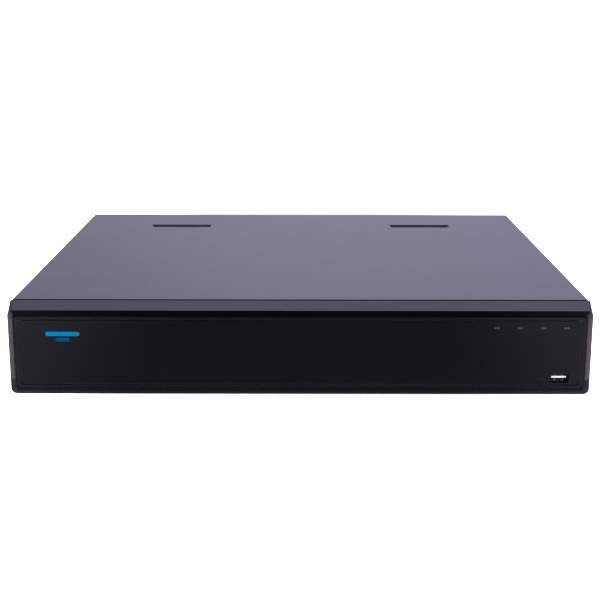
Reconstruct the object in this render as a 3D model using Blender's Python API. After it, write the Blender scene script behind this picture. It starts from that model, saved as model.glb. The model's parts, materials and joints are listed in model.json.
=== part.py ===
"""A video recorder in a 1.5U desktop case: steel tray, sliding cover, moulded front, boards, drives and fans.

Metres. X runs across the front, +Y to the rear, +Z up. The origin is under the middle of the case, where the
feet stand. Every piece is one closed solid.
"""

import math

import bmesh
import bpy
from mathutils import Matrix, Vector

# Overall size of the case
WIDTH = 0.440
DEPTH = 0.411
HEIGHT = 0.076
SHEET = 0.001
GAP = 0.0003
FRONT_Y = -DEPTH / 2
BACK_Y = DEPTH / 2

# Sheet-metal case
COVER_HALF = 0.2188
COVER_FRONT_Y = -0.1891
COVER_BACK_Y = 0.1895
COVER_BASE_Z = 0.0065
COVER_BEND = 0.0015
LIP_Z = 0.0640
PANEL_TOP = 0.0722
TRAY_HALF = COVER_HALF - SHEET - 0.0004
TRAY_FRONT_Y = -0.1892
FLOOR_Z = 0.006
FLOOR_TOP = FLOOR_Z + SHEET
TRAY_SIDE_TOP = 0.024
VENT_SLOT = (0.003, 0.024)
VENT_PITCH = 0.008
VENT_COUNT = 12
VENT_GROUP_YS = (-0.105, 0.060)
VENT_LOW_Z = 0.032
FLOOR_SLOT = (0.003, 0.030)
FLOOR_SLOT_Y = -0.015
FLOOR_SLOT_COUNT = 8
FLOOR_SLOT_XS = (-0.090, 0.110)
WALL_TOP = HEIGHT - SHEET - 0.0004
PANEL_OUT_Y = COVER_BACK_Y - SHEET - GAP
PANEL_IN_Y = PANEL_OUT_Y - SHEET
BOARD_Z = 0.0130
BOARD_THICK = 0.0016
BOARD_TOP = BOARD_Z + BOARD_THICK
SEAT_Z = BOARD_TOP + GAP
BACK_Y_INSIDE = PANEL_IN_Y - GAP

# Front bezel: a sloped strip on top, a bevelled ring round the front, and steps down to the glossy insert
BEZEL_BACK_Y = TRAY_FRONT_Y - GAP
BEZEL_BASE_Z = 0.0047
BEZEL_TOP_Z = 0.0753
RING_BACK_Y = FRONT_Y + 0.0046
RING_TOP_Z = 0.0701
RING_FRONT = (0.2152, 0.0096, 0.0662)
RING_PROFILE = ((0.0, 0.0), (0.60, 0.52), (0.82, 0.74), (0.95, 0.90), (1.0, 1.0))
LEDGE = (0.2149, 0.0099, 0.0659, FRONT_Y + 0.0013)
SEAT = (0.2124, 0.0124, 0.0641, FRONT_Y + 0.0041)
INSERT = (0.2111, 0.0137, 0.0629)
INSERT_FRONT_Y = FRONT_Y + 0.0019
INSERT_BACK_Y = SEAT[3] - GAP
BEZEL_WALL_BACK_Y = SEAT[3] + 0.002

# What shows in the front insert
LIGHT_XS = (0.1475, 0.1650, 0.1825, 0.2000)
LIGHT_Z = 0.0575
LIGHT_SIZE = (0.0046, 0.0016)
FRONT_USB = (0.1964, 0.0180)
USB_SIZE = (0.0131, 0.0057)

# Thumb recesses in the cover
RECESS_XS = (-0.120, 0.120)
RECESS_WIDTH = 0.060
RECESS_WALL_Y = 0.130
RECESS_FRONT_Y = 0.112
RECESS_DEPTH = 0.0022
RECESS_TAPER = 0.003

# Rear of the case
SCREW_XS = (-0.170, 0.0, 0.170)
SCREW_Z = 0.0685
SCREW_HOLE = 0.0018
JACK_PITCH = 0.0156
JACK_XS = [0.2000 - JACK_PITCH * i for i in range(8)]
ROW_ZS = (0.0260, 0.0460)
AUDIO_X = 0.0705
VGA = (0.0430, 0.0235)
HDMI = (0.0140, 0.0181)
STACK_X = -0.0100
USB_STACK_Z = (SEAT_Z, 0.0306)
NETWORK_Z = (0.0309, 0.0446)
TERMINAL = (-0.0500, 0.0212)
FAN_XS = (-0.0980, -0.1420)
FAN_Z = 0.0320
FAN_SIZE = 0.040
FAN_DEPTH = 0.015
FAN_BORE = 0.0188
FAN_BLADES = 7
INLET = (-0.1890, 0.0220)
SWITCH = (-0.1890, 0.0485)
EARTH = (-0.1675, 0.0580)

# Inside
FEET_XS = (-0.180, 0.180)
FEET_YS = (-0.150, 0.150)
MAIN_BOARD = ((-0.072, 0.038), (0.212, 0.184))
SUPPLY_BOARD = ((-0.212, 0.010), (-0.120, 0.148))
DRIVE = (0.1016, 0.147, 0.0261)
DRIVE_BACK_Y = -0.031
DRIVE_XS = (-0.146, -0.026)
DRIVE_ZS = (0.0120, 0.0420)
CAGE_TOP = 0.0700
HEADER_TOP = 0.0235
DATA_HEADER_XS = (-0.062, -0.050, -0.038, -0.026)
HEADER_YS = (0.0415, 0.0475)
PART_SINK = 0.0005
CHIP_TALL = 0.0022
HEATSINK = ((0.068, 0.073), (0.112, 0.117))
CAGE_SHEET = 0.0012
LEAD_RADIUS = 0.0020


def clear_scene():
    for old in list(bpy.data.objects):
        bpy.data.objects.remove(old, do_unlink=True)


def material(name, colour, roughness, metallic=0.0):
    """A Principled material."""
    made = bpy.data.materials.new(name)
    made.use_nodes = True
    shader = made.node_tree.nodes["Principled BSDF"]
    shader.inputs["Base Color"].default_value = (*colour, 1.0)
    shader.inputs["Roughness"].default_value = roughness
    shader.inputs["Metallic"].default_value = metallic
    return made


def block(low, high, bevel=0.0):
    """A box between two corners; a bevel cuts all its edges."""

    def add(mesh):
        low_corner, high_corner = Vector(low), Vector(high)
        place = Matrix.LocRotScale((low_corner + high_corner) / 2, None, high_corner - low_corner)
        corners = bmesh.ops.create_cube(mesh, size=1.0, matrix=place)["verts"]
        if bevel:
            edges = {edge for corner in corners for edge in corner.link_edges}
            bmesh.ops.bevel(mesh, geom=list(edges), offset=bevel, segments=1, affect="EDGES")

    return add


def rod(start, end, radius, sides=16, end_radius=None):
    """A cylinder, or a cone if its far end has its own radius."""

    def add(mesh):
        along = Vector(end) - Vector(start)
        turn = Vector((0, 0, 1)).rotation_difference(along)
        bmesh.ops.create_cone(
            mesh,
            cap_ends=True,
            segments=sides,
            radius1=radius,
            radius2=radius if end_radius is None else end_radius,
            depth=along.length,
            matrix=Matrix.LocRotScale((Vector(start) + Vector(end)) / 2, turn, None),
        )

    return add


def in_space(axis, across, up, along):
    """A point of an outline placed in space, at a distance along the axis that the outline faces."""
    if axis == "X":
        return Vector((along, across, up))
    if axis == "Y":
        return Vector((across, along, up))
    return Vector((across, up, along))


def loft(rings):
    """A solid through rings that have the same number of points, closed at both ends."""

    def add(mesh):
        loops = [[mesh.verts.new(point) for point in ring] for ring in rings]
        for one, other in zip(loops, loops[1:]):
            for i in range(len(one)):
                j = (i + 1) % len(one)
                mesh.faces.new((one[i], one[j], other[j], other[i]))
        mesh.faces.new(loops[0])
        mesh.faces.new(loops[-1])

    return add


def plate(outline, axis, start, end):
    """An outline pushed along an axis."""
    return loft([[in_space(axis, u, v, along) for u, v in outline] for along in (start, end)])


def hull(points):
    """The convex solid round some points."""

    def add(mesh):
        corners = [mesh.verts.new(point) for point in points]
        bmesh.ops.convex_hull(mesh, input=corners)

    return add


def turned(profile, centre, axis="Y", steps=16):
    """A profile of (radius, distance along the axis) turned once round; it starts and ends on the axis."""

    def add(mesh):
        x, z = centre
        fresh = [mesh.verts.new(in_space(axis, x + radius, z, along)) for radius, along in profile]
        edges = [mesh.edges.new(pair) for pair in zip(fresh, fresh[1:])]
        spin_axis = in_space(axis, 0, 0, 1)
        before = set(mesh.verts) - set(fresh)
        bmesh.ops.spin(
            mesh,
            geom=fresh + edges,
            cent=in_space(axis, x, z, 0),
            axis=spin_axis,
            angle=math.tau,
            steps=steps,
            use_merge=True,
        )
        spun = [vert for vert in mesh.verts if vert not in before]
        bmesh.ops.remove_doubles(mesh, verts=spun, dist=1e-6)

    return add


def rounded_box(half_x, low_z, high_z, low_radius, high_radius=None, steps=4):
    """A rectangle centred on X = 0, with its low and high corners rounded."""
    high_radius = low_radius if high_radius is None else high_radius
    corners = (
        (half_x - low_radius, low_z + low_radius, low_radius, -90),
        (half_x - high_radius, high_z - high_radius, high_radius, 0),
        (-half_x + high_radius, high_z - high_radius, high_radius, 90),
        (-half_x + low_radius, low_z + low_radius, low_radius, 180),
    )
    points = []
    for x, z, radius, first in corners:
        for i in range(steps + 1):
            angle = math.radians(first + 90 * i / steps)
            points.append((x + radius * math.cos(angle), z + radius * math.sin(angle)))
    return points


def mesh_object(name, shapes, surface=None, origin=(0, 0, 0)):
    """An object whose mesh holds the shapes, given in world coordinates."""
    mesh = bmesh.new()
    for add in shapes:
        add(mesh)
    bmesh.ops.translate(mesh, verts=mesh.verts, vec=-Vector(origin))
    bmesh.ops.recalc_face_normals(mesh, faces=mesh.faces)
    data = bpy.data.meshes.new(name)
    mesh.to_mesh(data)
    mesh.free()
    data.shade_smooth()
    data.set_sharp_from_angle(angle=math.radians(35))
    piece = bpy.data.objects.new(name, data)
    bpy.context.scene.collection.objects.link(piece)
    piece.location = origin
    if surface:
        data.materials.append(surface)
    return piece


def solid(name, surface, shapes, cuts=(), later=(), origin=(0, 0, 0)):
    """One piece: its shapes joined, the cuts taken away, then the later shapes joined on."""
    piece = mesh_object(name, shapes[:1], surface, origin)
    for operation, group in (("UNION", shapes[1:]), ("DIFFERENCE", cuts), ("UNION", later)):
        if not group:
            continue
        tool = mesh_object(f"{name}_tool_{len(piece.modifiers)}", group, None, origin)
        tool.parent = piece
        tool.location = (0, 0, 0)
        tool.hide_render = True
        tool.display_type = "WIRE"
        modifier = piece.modifiers.new(operation.title(), "BOOLEAN")
        modifier.operation = operation
        modifier.solver = "EXACT"
        modifier.use_self = True
        modifier.object = tool
    return piece


def smooth_route(points, per_span=3):
    """Points along a smooth curve through the route's own points (Catmull-Rom), straight at both its ends."""
    route = [Vector(point) for point in points]
    route.insert(1, (route[0] + route[1]) / 2)
    route.insert(-1, (route[-1] + route[-2]) / 2)
    route = [2 * route[0] - route[1], *route, 2 * route[-1] - route[-2]]
    found = []
    for before, start, end, after in zip(route, route[1:], route[2:], route[3:]):
        for i in range(per_span):
            t = i / per_span
            bend = 2 * before - 5 * start + 4 * end - after
            twist = 3 * start - before - 3 * end + after
            found.append(0.5 * (2 * start + (end - before) * t + bend * t**2 + twist * t**3))
    return [*found, route[-2]]


def lead(name, surface, points, radius):
    """An internal cable along a smooth route."""
    curve = bpy.data.curves.new(name, "CURVE")
    curve.dimensions = "3D"
    curve.bevel_depth = radius
    curve.bevel_resolution = 2
    curve.use_fill_caps = True
    spline = curve.splines.new("POLY")
    route = smooth_route(points)
    spline.points.add(len(route) - 1)
    for point, place in zip(spline.points, route):
        point.co = (*place, 1.0)
    curve.materials.append(surface)
    piece = bpy.data.objects.new(name, curve)
    bpy.context.scene.collection.objects.link(piece)
    return piece


# Case


def chassis_tray(surface):
    wall_half = TRAY_HALF - 0.0008
    shapes = [
        block((-TRAY_HALF, TRAY_FRONT_Y, FLOOR_Z), (TRAY_HALF, BACK_Y_INSIDE, FLOOR_TOP)),
        block((-wall_half, TRAY_FRONT_Y, FLOOR_Z), (wall_half, TRAY_FRONT_Y + SHEET, WALL_TOP)),
        block((-wall_half, TRAY_FRONT_Y, WALL_TOP - SHEET), (wall_half, TRAY_FRONT_Y + 0.011, WALL_TOP)),
    ]
    for side in (-1, 1):
        outer, inner = side * TRAY_HALF, side * (TRAY_HALF - SHEET)
        low, high = min(outer, inner), max(outer, inner)
        shapes.append(block((low, TRAY_FRONT_Y, FLOOR_Z), (high, BACK_Y_INSIDE, TRAY_SIDE_TOP)))
    for (low_x, low_y), (high_x, high_y) in (MAIN_BOARD, SUPPLY_BOARD):
        for x in (low_x + 0.008, high_x - 0.008):
            for y in (low_y + 0.008, high_y - 0.014):
                shapes.append(rod((x, y, FLOOR_Z + 0.0005), (x, y, BOARD_Z - GAP), 0.003, 10))
    cuts = [block((0.150, TRAY_FRONT_Y - 0.002, 0.030), (0.172, TRAY_FRONT_Y + 0.003, 0.042))]
    half, long = FLOOR_SLOT[0] / 2, FLOOR_SLOT[1]
    for centre in FLOOR_SLOT_XS:
        for i in range(FLOOR_SLOT_COUNT):
            x = centre + (i - (FLOOR_SLOT_COUNT - 1) / 2) * VENT_PITCH
            low = (x - half, FLOOR_SLOT_Y, FLOOR_Z - 0.002)
            cuts.append(block(low, (x + half, FLOOR_SLOT_Y + long, FLOOR_TOP + 0.002)))
    return solid("chassis_tray", surface, shapes, cuts)


def thumb_recess(x, grow, depth):
    """The wedge of a thumb recess, with an upright rear wall and a ramped floor; grown for its underside."""
    half = RECESS_WIDTH / 2 + grow
    back, front = RECESS_WALL_Y + grow, RECESS_FRONT_Y - 3 * grow
    top = HEIGHT + 0.001 if not grow else HEIGHT - 0.0005
    rim = HEIGHT if not grow else HEIGHT - 0.0006
    points = [(x + side * half, y, z) for side in (-1, 1) for y in (front, back) for z in (top, rim)]
    floor = HEIGHT - depth
    low_half = half - RECESS_TAPER
    points += [(x + side * low_half, y, floor) for side in (-1, 1) for y in (back, back - 2 * grow)]
    return hull(points)


def cover_section():
    """The cover's bent section, seen from the front."""
    outer = rounded_box(COVER_HALF, 0, HEIGHT, 0.0001, COVER_BEND)
    inner = rounded_box(COVER_HALF - SHEET, 0, HEIGHT - SHEET, 0.0001, COVER_BEND - SHEET)
    outside = [point for point in outer if point[1] > 0.01]
    inside = [point for point in inner if point[1] > 0.01]
    feet = [(COVER_HALF, COVER_BASE_Z), (-COVER_HALF, COVER_BASE_Z)]
    inner_feet = [(-COVER_HALF + SHEET, COVER_BASE_Z), (COVER_HALF - SHEET, COVER_BASE_Z)]
    return [feet[0], *outside, feet[1], inner_feet[0], *reversed(inside), inner_feet[1]]


def top_cover(surface):
    lip_half = COVER_HALF - 0.0005
    lip_low = (-lip_half, COVER_BACK_Y - SHEET, LIP_Z)
    shapes = [
        plate(cover_section(), "Y", COVER_FRONT_Y, COVER_BACK_Y),
        block(lip_low, (lip_half, COVER_BACK_Y, HEIGHT - 0.0005)),
    ]
    shapes += [thumb_recess(x, SHEET, RECESS_DEPTH + SHEET) for x in RECESS_XS]
    cuts = [thumb_recess(x, 0.0, RECESS_DEPTH) for x in RECESS_XS]
    low_y, high_y = COVER_BACK_Y - 0.003, COVER_BACK_Y + 0.003
    cuts += [rod((x, low_y, SCREW_Z), (x, high_y, SCREW_Z), SCREW_HOLE, 12) for x in SCREW_XS]
    half, high_z = VENT_SLOT[0] / 2, VENT_LOW_Z + VENT_SLOT[1]
    for side in (-1, 1):
        low_x, high_x = sorted((side * (COVER_HALF - 0.004), side * (COVER_HALF + 0.002)))
        for centre in VENT_GROUP_YS:
            for i in range(VENT_COUNT):
                y = centre + (i - (VENT_COUNT - 1) / 2) * VENT_PITCH
                cuts.append(block((low_x, y - half, VENT_LOW_Z), (high_x, y + half, high_z)))
    return solid("top_cover", surface, shapes, cuts, origin=(0, COVER_BACK_Y, HEIGHT))


def cover_screw(name, x, surface):
    head_y = COVER_BACK_Y + GAP
    shapes = [
        rod((x, head_y, SCREW_Z), (x, head_y + 0.0022, SCREW_Z), 0.0030, 16, 0.0024),
        rod((x, PANEL_IN_Y - 0.004, SCREW_Z), (x, head_y + 0.001, SCREW_Z), 0.0015, 12),
    ]
    return solid(name, surface, shapes, cross_slots(x, SCREW_Z, head_y + 0.0012, 0.0017, 0.0003))


def cross_slots(x, z, floor_y, reach, half):
    """Cutters for a cross recess in a screw head."""
    arms, open_y = ((reach, half), (half, reach)), floor_y + 0.003
    return [block((x - wide, floor_y, z - tall), (x + wide, open_y, z + tall)) for wide, tall in arms]


def fan_grille(x):
    """Arc-shaped slots in two rings, for a fan's opening."""
    cuts = []
    low_y, high_y = PANEL_IN_Y - 0.002, PANEL_OUT_Y + 0.002
    for inner, outer in ((0.0055, 0.0110), (0.0130, 0.0180)):
        for quarter in range(4):
            edge = math.degrees(0.0012 / inner)
            first, last = math.radians(90 * quarter + edge), math.radians(90 * quarter + 90 - edge)
            angles = [first + (last - first) * i / 4 for i in range(5)]
            outline = [(x + outer * math.cos(a), FAN_Z + outer * math.sin(a)) for a in angles]
            outline += [(x + inner * math.cos(a), FAN_Z + inner * math.sin(a)) for a in reversed(angles)]
            cuts.append(plate(outline, "Y", low_y, high_y))
    return cuts


def rear_panel(surface):
    half = TRAY_HALF
    low_z = FLOOR_TOP + GAP
    shapes = [
        block((-half, PANEL_IN_Y, low_z), (half, PANEL_OUT_Y, PANEL_TOP)),
        block((-half + 0.004, PANEL_IN_Y - 0.0025, low_z), (half - 0.004, PANEL_OUT_Y, low_z + SHEET)),
    ]
    low_y, high_y = PANEL_IN_Y - 0.001, PANEL_OUT_Y + 0.001
    holes = [(x, z, 0.0067) for x in JACK_XS for z in ROW_ZS]
    holes += [(AUDIO_X, z, 0.0053) for z in ROW_ZS]
    cuts = [rod((x, low_y, z), (x, high_y, z), radius, 12) for x, z, radius in holes]
    cuts += [rod((x, low_y, SCREW_Z), (x, high_y, SCREW_Z), SCREW_HOLE, 12) for x in SCREW_XS]
    cuts.append(rod((EARTH[0], low_y, EARTH[1]), (EARTH[0], high_y, EARTH[1]), 0.0023, 12))
    windows = [
        (VGA[0] - 0.0165, VGA[0] + 0.0165, VGA[1] - 0.0066, VGA[1] + 0.0066),
        (HDMI[0] - 0.0079, HDMI[0] + 0.0079, HDMI[1] - 0.0032, HDMI[1] + 0.0033),
        (STACK_X - 0.0085, STACK_X + 0.0085, USB_STACK_Z[0] - 0.0004, NETWORK_Z[1] + 0.0004),
        (TERMINAL[0] - 0.0184, TERMINAL[0] + 0.0184, TERMINAL[1] - 0.0066, TERMINAL[1] + 0.0066),
        (INLET[0] - 0.0143, INLET[0] + 0.0143, INLET[1] - 0.0103, INLET[1] + 0.0103),
        (SWITCH[0] - 0.0068, SWITCH[0] + 0.0068, SWITCH[1] - 0.0098, SWITCH[1] + 0.0098),
    ]
    cuts += [block((x0, low_y, z0), (x1, high_y, z1)) for x0, x1, z0, z1 in windows]
    for x in FAN_XS:
        cuts += fan_grille(x)
    for row in range(2):
        for i in range(12):
            x, z = -0.066 + 0.011 * i, 0.0515 + 0.006 * row
            cuts.append(block((x - 0.004, low_y, z - 0.0012), (x + 0.004, high_y, z + 0.0012)))
    return solid("rear_panel", surface, shapes, cuts)


def foot(name, x, y, surface):
    profile = [(0, 0), (0.0095, 0), (0.0105, 0.0012), (0.0105, FLOOR_Z - GAP), (0, FLOOR_Z - GAP)]
    return solid(name, surface, [turned(profile, (x, y), "Z", 20)])


# Front


def bezel_rings():
    """Outlines of the bezel from its rear edge to the front of its ring; the ring ends in a fillet."""
    rings = [(BEZEL_BACK_Y, WIDTH / 2, BEZEL_BASE_Z, BEZEL_TOP_Z, 0.0045, 0.0012)]
    half, low, high = RING_FRONT
    for forward, inward in RING_PROFILE:
        x = WIDTH / 2 + (half - WIDTH / 2) * inward
        low_z = BEZEL_BASE_Z + (low - BEZEL_BASE_Z) * inward
        high_z = RING_TOP_Z + (high - RING_TOP_Z) * inward
        y = RING_BACK_Y + (FRONT_Y - RING_BACK_Y) * forward
        rings.append((y, x, low_z, high_z, 0.0045 - 0.001 * inward, 0.004))
    return [[in_space("Y", u, v, ring[0]) for u, v in rounded_box(*ring[1:])] for ring in rings]


def front_openings(margin, low_y, high_y):
    """Cutters for the four light windows and the USB socket."""
    wide, tall = LIGHT_SIZE[0] / 2 + margin, LIGHT_SIZE[1] / 2 + margin
    cuts = [block((x - wide, low_y, LIGHT_Z - tall), (x + wide, high_y, LIGHT_Z + tall)) for x in LIGHT_XS]
    x, z = FRONT_USB
    wide, tall = USB_SIZE[0] / 2 + margin, USB_SIZE[1] / 2 + margin
    return [*cuts, block((x - wide, low_y, z - tall), (x + wide, high_y, z + tall))]


def front_bezel(surface):
    wall = 0.0024
    hollow = [
        (BEZEL_WALL_BACK_Y, BEZEL_BASE_Z + wall),
        (BEZEL_BACK_Y + 0.001, BEZEL_BASE_Z + wall),
        (BEZEL_BACK_Y + 0.001, BEZEL_TOP_Z - wall + 0.0005),
        (BEZEL_WALL_BACK_Y, RING_TOP_Z - wall),
    ]
    cuts = [
        plate(hollow, "X", -WIDTH / 2 + wall, WIDTH / 2 - wall),
        plate(rounded_box(*LEDGE[:3], 0.0030), "Y", FRONT_Y - 0.001, LEDGE[3]),
        plate(rounded_box(*SEAT[:3], 0.0028), "Y", FRONT_Y - 0.002, SEAT[3]),
        *front_openings(0.0005, SEAT[3] - 0.001, BEZEL_WALL_BACK_Y + 0.001),
    ]
    return solid("front_bezel", surface, [loft(bezel_rings())], cuts)


def front_insert(surface):
    shapes = [plate(rounded_box(*INSERT, 0.0025), "Y", INSERT_FRONT_Y, INSERT_BACK_Y)]
    cuts = front_openings(GAP, INSERT_FRONT_Y - 0.001, INSERT_BACK_Y + 0.001)
    return solid("front_insert", surface, shapes, cuts)


def light_pipe(name, x, surface):
    wide, tall = LIGHT_SIZE[0] / 2, LIGHT_SIZE[1] / 2
    low = (x - wide, INSERT_FRONT_Y, LIGHT_Z - tall)
    return solid(name, surface, [block(low, (x + wide, BEZEL_BACK_Y - 0.0042, LIGHT_Z + tall))])


def usb_shell(name, x, z, front_y, depth, way, surface):
    """A folded-steel USB socket, open towards -Y where way is -1 and towards +Y where it is 1."""
    wide, tall, wall = USB_SIZE[0] / 2, USB_SIZE[1] / 2, 0.0004
    back_y = front_y - way * depth
    outer = sorted((front_y, back_y))
    inner = sorted((front_y + way * 0.001, back_y + way * wall))
    shapes = [block((x - wide, outer[0], z - tall), (x + wide, outer[1], z + tall))]
    wide, tall = wide - wall, tall - wall
    cuts = [block((x - wide, inner[0], z - tall), (x + wide, inner[1], z + tall))]
    return solid(name, surface, shapes, cuts)


def usb_tongue(name, x, z, front_y, back_y, surface):
    """The insulator at the back of the front USB socket, with its contact tongue in the upper half."""
    shapes = [
        block((x - 0.0058, back_y - 0.003, z - 0.0021), (x + 0.0058, back_y, z + 0.0021)),
        block((x - 0.0055, front_y, z + 0.0001), (x + 0.0055, back_y - 0.001, z + 0.0018)),
    ]
    return solid(name, surface, shapes)


def front_pieces(looks):
    front_bezel(looks["bezel"])
    front_insert(looks["gloss"])
    for i, x in enumerate(LIGHT_XS, 1):
        light_pipe(f"light_pipe_{i}", x, looks["clear"])
    usb_x, usb_z = FRONT_USB
    mouth_y, depth = INSERT_FRONT_Y - 0.0003, 0.0123
    usb_shell("front_usb_shell", usb_x, usb_z, mouth_y, depth, -1, looks["nickel"])
    usb_tongue("front_usb_tongue", usb_x, usb_z, mouth_y + 0.001, mouth_y + depth - 0.0008, looks["white"])
    board_y = mouth_y + depth + GAP
    shapes = [block((0.138, board_y, 0.0110), (0.212, board_y + BOARD_THICK, 0.0650))]
    lamp = (0.0015, 0.0008)
    for x in LIGHT_XS:
        low = (x - lamp[0], board_y - 0.0008, LIGHT_Z - lamp[1])
        shapes.append(block(low, (x + lamp[0], board_y + 0.001, LIGHT_Z + lamp[1])))
    solid("indicator_board", looks["board"], shapes)


# Sockets at the rear


def video_sockets(name, columns, surface):
    """A die-cast housing with two rows of bayonet sockets: collar, barrel with two lugs, bore, insulator."""
    inside, collar = BACK_Y_INSIDE - 0.0010, PANEL_OUT_Y + 0.005
    wide, narrow = 0.00635, 0.0048
    profile = [(0, inside), (wide, inside), (wide, collar), (narrow, collar), (narrow, BACK_Y), (0, BACK_Y)]
    places = [(x, z) for x in columns for z in ROW_ZS]
    low_x, high_x = min(columns) - 0.0075, max(columns) + 0.0075
    lug_y = BACK_Y - 0.005
    shapes = [block((low_x, 0.162, SEAT_Z), (high_x, BACK_Y_INSIDE, 0.0540))]
    shapes += [turned(profile, place, steps=12) for place in places]
    shapes += [rod((x, lug_y, z - 0.0056), (x, lug_y, z + 0.0056), 0.0010, 6) for x, z in places]
    bores = [rod((x, collar + 0.002, z), (x, BACK_Y + 0.001, z), 0.0040, 12) for x, z in places]
    pegs = [rod((x, collar + 0.001, z), (x, BACK_Y - 0.002, z), 0.0024, 10) for x, z in places]
    return solid(name, surface, shapes, bores, pegs)


def audio_sockets(surface):
    """Two phono sockets, one above the other."""
    inside, end = BACK_Y_INSIDE - 0.0006, PANEL_OUT_Y + 0.0095
    profile = [
        (0, inside),
        (0.0050, inside),
        (0.0050, PANEL_OUT_Y + 0.0010),
        (0.00415, PANEL_OUT_Y + 0.0010),
        (0.00415, end),
        (0.0017, end),
        (0.0017, end - 0.008),
        (0, end - 0.008),
    ]
    shapes = [block((AUDIO_X - 0.007, 0.165, SEAT_Z), (AUDIO_X + 0.007, BACK_Y_INSIDE, 0.0540))]
    shapes += [turned(profile, (AUDIO_X, z), steps=14) for z in ROW_ZS]
    return solid("audio_sockets", surface, shapes)


def d_outline(x, z, wide, tall, slant):
    return [
        (x - wide + slant, z - tall),
        (x + wide - slant, z - tall),
        (x + wide, z + tall),
        (x - wide, z + tall),
    ]


def vga_socket(surface):
    x, z = VGA
    face = PANEL_OUT_Y - GAP
    shapes = [
        block((x - 0.0155, 0.172, SEAT_Z), (x + 0.0155, BACK_Y_INSIDE, z + 0.0062)),
        block((x - 0.0155, BACK_Y_INSIDE - 0.002, z - 0.0062), (x + 0.0155, face, z + 0.0062)),
        plate(d_outline(x, z, 0.0092, 0.0045, 0.0012), "Y", face - 0.002, PANEL_OUT_Y + 0.0055),
    ]
    for side in (-1, 1):
        nut = (x + side * 0.0125, z)
        shapes.append(rod((nut[0], face - 0.002, nut[1]), (nut[0], PANEL_OUT_Y + 0.0050, nut[1]), 0.0026, 6))
    cuts = [plate(d_outline(x, z, 0.0087, 0.0040, 0.0011), "Y", PANEL_OUT_Y + 0.0049, PANEL_OUT_Y + 0.008)]
    for side in (-1, 1):
        nut_x = x + side * 0.0125
        cuts.append(rod((nut_x, PANEL_OUT_Y, z), (nut_x, PANEL_OUT_Y + 0.008, z), 0.0014, 8))
    return solid("vga_socket", surface, shapes, cuts)


def hdmi_outline(inset):
    """The socket's mouth, with its two slanted lower corners."""
    x, z = HDMI
    half, low, high, slant = 0.0075 - inset, z - 0.0029 + inset, z + 0.0029 - inset, 0.0022
    right = [(x + half - slant, low), (x + half, low + slant), (x + half, high)]
    return [*right, *[(2 * x - across, up) for across, up in reversed(right)]]


def hdmi_socket(surface):
    x, z = HDMI
    wall, end = 0.0004, PANEL_OUT_Y + 0.0012
    shapes = [plate(hdmi_outline(0), "Y", end - 0.0125, end)]
    hollow = [plate(hdmi_outline(wall), "Y", end - 0.010, end + 0.001)]
    tongue = [block((x - 0.0050, end - 0.0108, z + 0.0001), (x + 0.0050, end - 0.0008, z + 0.0010))]
    return solid("hdmi_socket", surface, shapes, hollow, tongue)


def usb_stack(surface):
    """Two USB sockets in one folded shell."""
    low, high = USB_STACK_Z
    end, wall = PANEL_OUT_Y + 0.0008, 0.0005
    shapes = [block((STACK_X - 0.0073, end - 0.017, low), (STACK_X + 0.0073, end, high))]
    cuts, tongues = [], []
    wide, tall, tongue_wide = 0.0062, 0.0024, 0.0052
    for centre in (low + 0.0042, high - 0.0040):
        mouth = (STACK_X - wide, end - 0.011, centre - tall)
        cuts.append(block(mouth, (STACK_X + wide, end + wall, centre + tall)))
        root = (STACK_X - tongue_wide, end - 0.0120, centre + 0.0001)
        tongues.append(block(root, (STACK_X + tongue_wide, end - 0.0015, centre + 0.0017)))
    return solid("rear_usb_sockets", surface, shapes, cuts, tongues)


def network_socket(surface):
    low, high = NETWORK_Z
    end, middle = PANEL_OUT_Y + 0.0008, (low + high) / 2
    shapes = [block((STACK_X - 0.0080, end - 0.019, low), (STACK_X + 0.0080, end, high))]
    cuts = []
    for half, deep, bottom, top in ((0.0059, 0.012, -0.0030, 0.0047), (0.0031, 0.010, -0.0050, -0.0028)):
        inner = (STACK_X - half, end - deep, middle + bottom)
        cuts.append(block(inner, (STACK_X + half, end + 0.001, middle + top)))
    return solid("network_socket", surface, shapes, cuts)


def terminal_pieces(looks):
    """The alarm terminal: a header on the board, and the plug that pulls off it to the rear."""
    x, z = TERMINAL
    count, pitch = 8, 0.0040
    pins = [x + (i - (count - 1) / 2) * pitch for i in range(count)]
    wide, tall, wall, play = 0.0178, z - SEAT_Z, 0.0012, 0.0004
    mouth, floor_y = PANEL_OUT_Y + 0.0010, 0.173
    shell = [block((x - wide, 0.170, z - tall), (x + wide, mouth, z + tall))]
    half, height = wide - wall, tall - wall
    hollow = [block((x - half, floor_y, z - height), (x + half, mouth + 0.001, z + height))]
    stem, way = 0.0005, 0.0010
    stems = [
        block((pin - stem, floor_y - 0.001, z - stem), (pin + stem, mouth - 0.002, z + stem)) for pin in pins
    ]
    solid("terminal_header", looks["green"], shell, hollow, stems)
    half, height, back = half - play, height - play, mouth + 0.0105
    body = [block((x - half, 0.1740, z - height), (x + half, back, z + height))]
    screw_y = mouth + 0.0050
    cuts = []
    for pin in pins:
        cuts.append(block((pin - way, floor_y, z - way), (pin + way, mouth - 0.001, z + way)))
        cuts.append(block((pin - 0.0013, back - 0.006, z - 0.0024), (pin + 0.0013, back + 0.001, z + 0.0006)))
        cuts.append(rod((pin, screw_y, z + height - 0.0016), (pin, screw_y, z + height + 0.001), 0.0014, 8))
    solid("terminal_plug", looks["green"], body, cuts, origin=(x, mouth, z))


def earth_screw(surface):
    x, z = EARTH
    face = PANEL_OUT_Y + GAP
    shapes = [
        rod((x, face, z), (x, face + 0.0012, z), 0.0044, 16),
        rod((x, face + 0.0008, z), (x, face + 0.0034, z), 0.0036, 16, 0.0029),
        rod((x, PANEL_IN_Y - 0.004, z), (x, face + 0.001, z), 0.0019, 12),
    ]
    return solid("earth_screw", surface, shapes, cross_slots(x, z, face + 0.0022, 0.0021, 0.0004))


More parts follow.
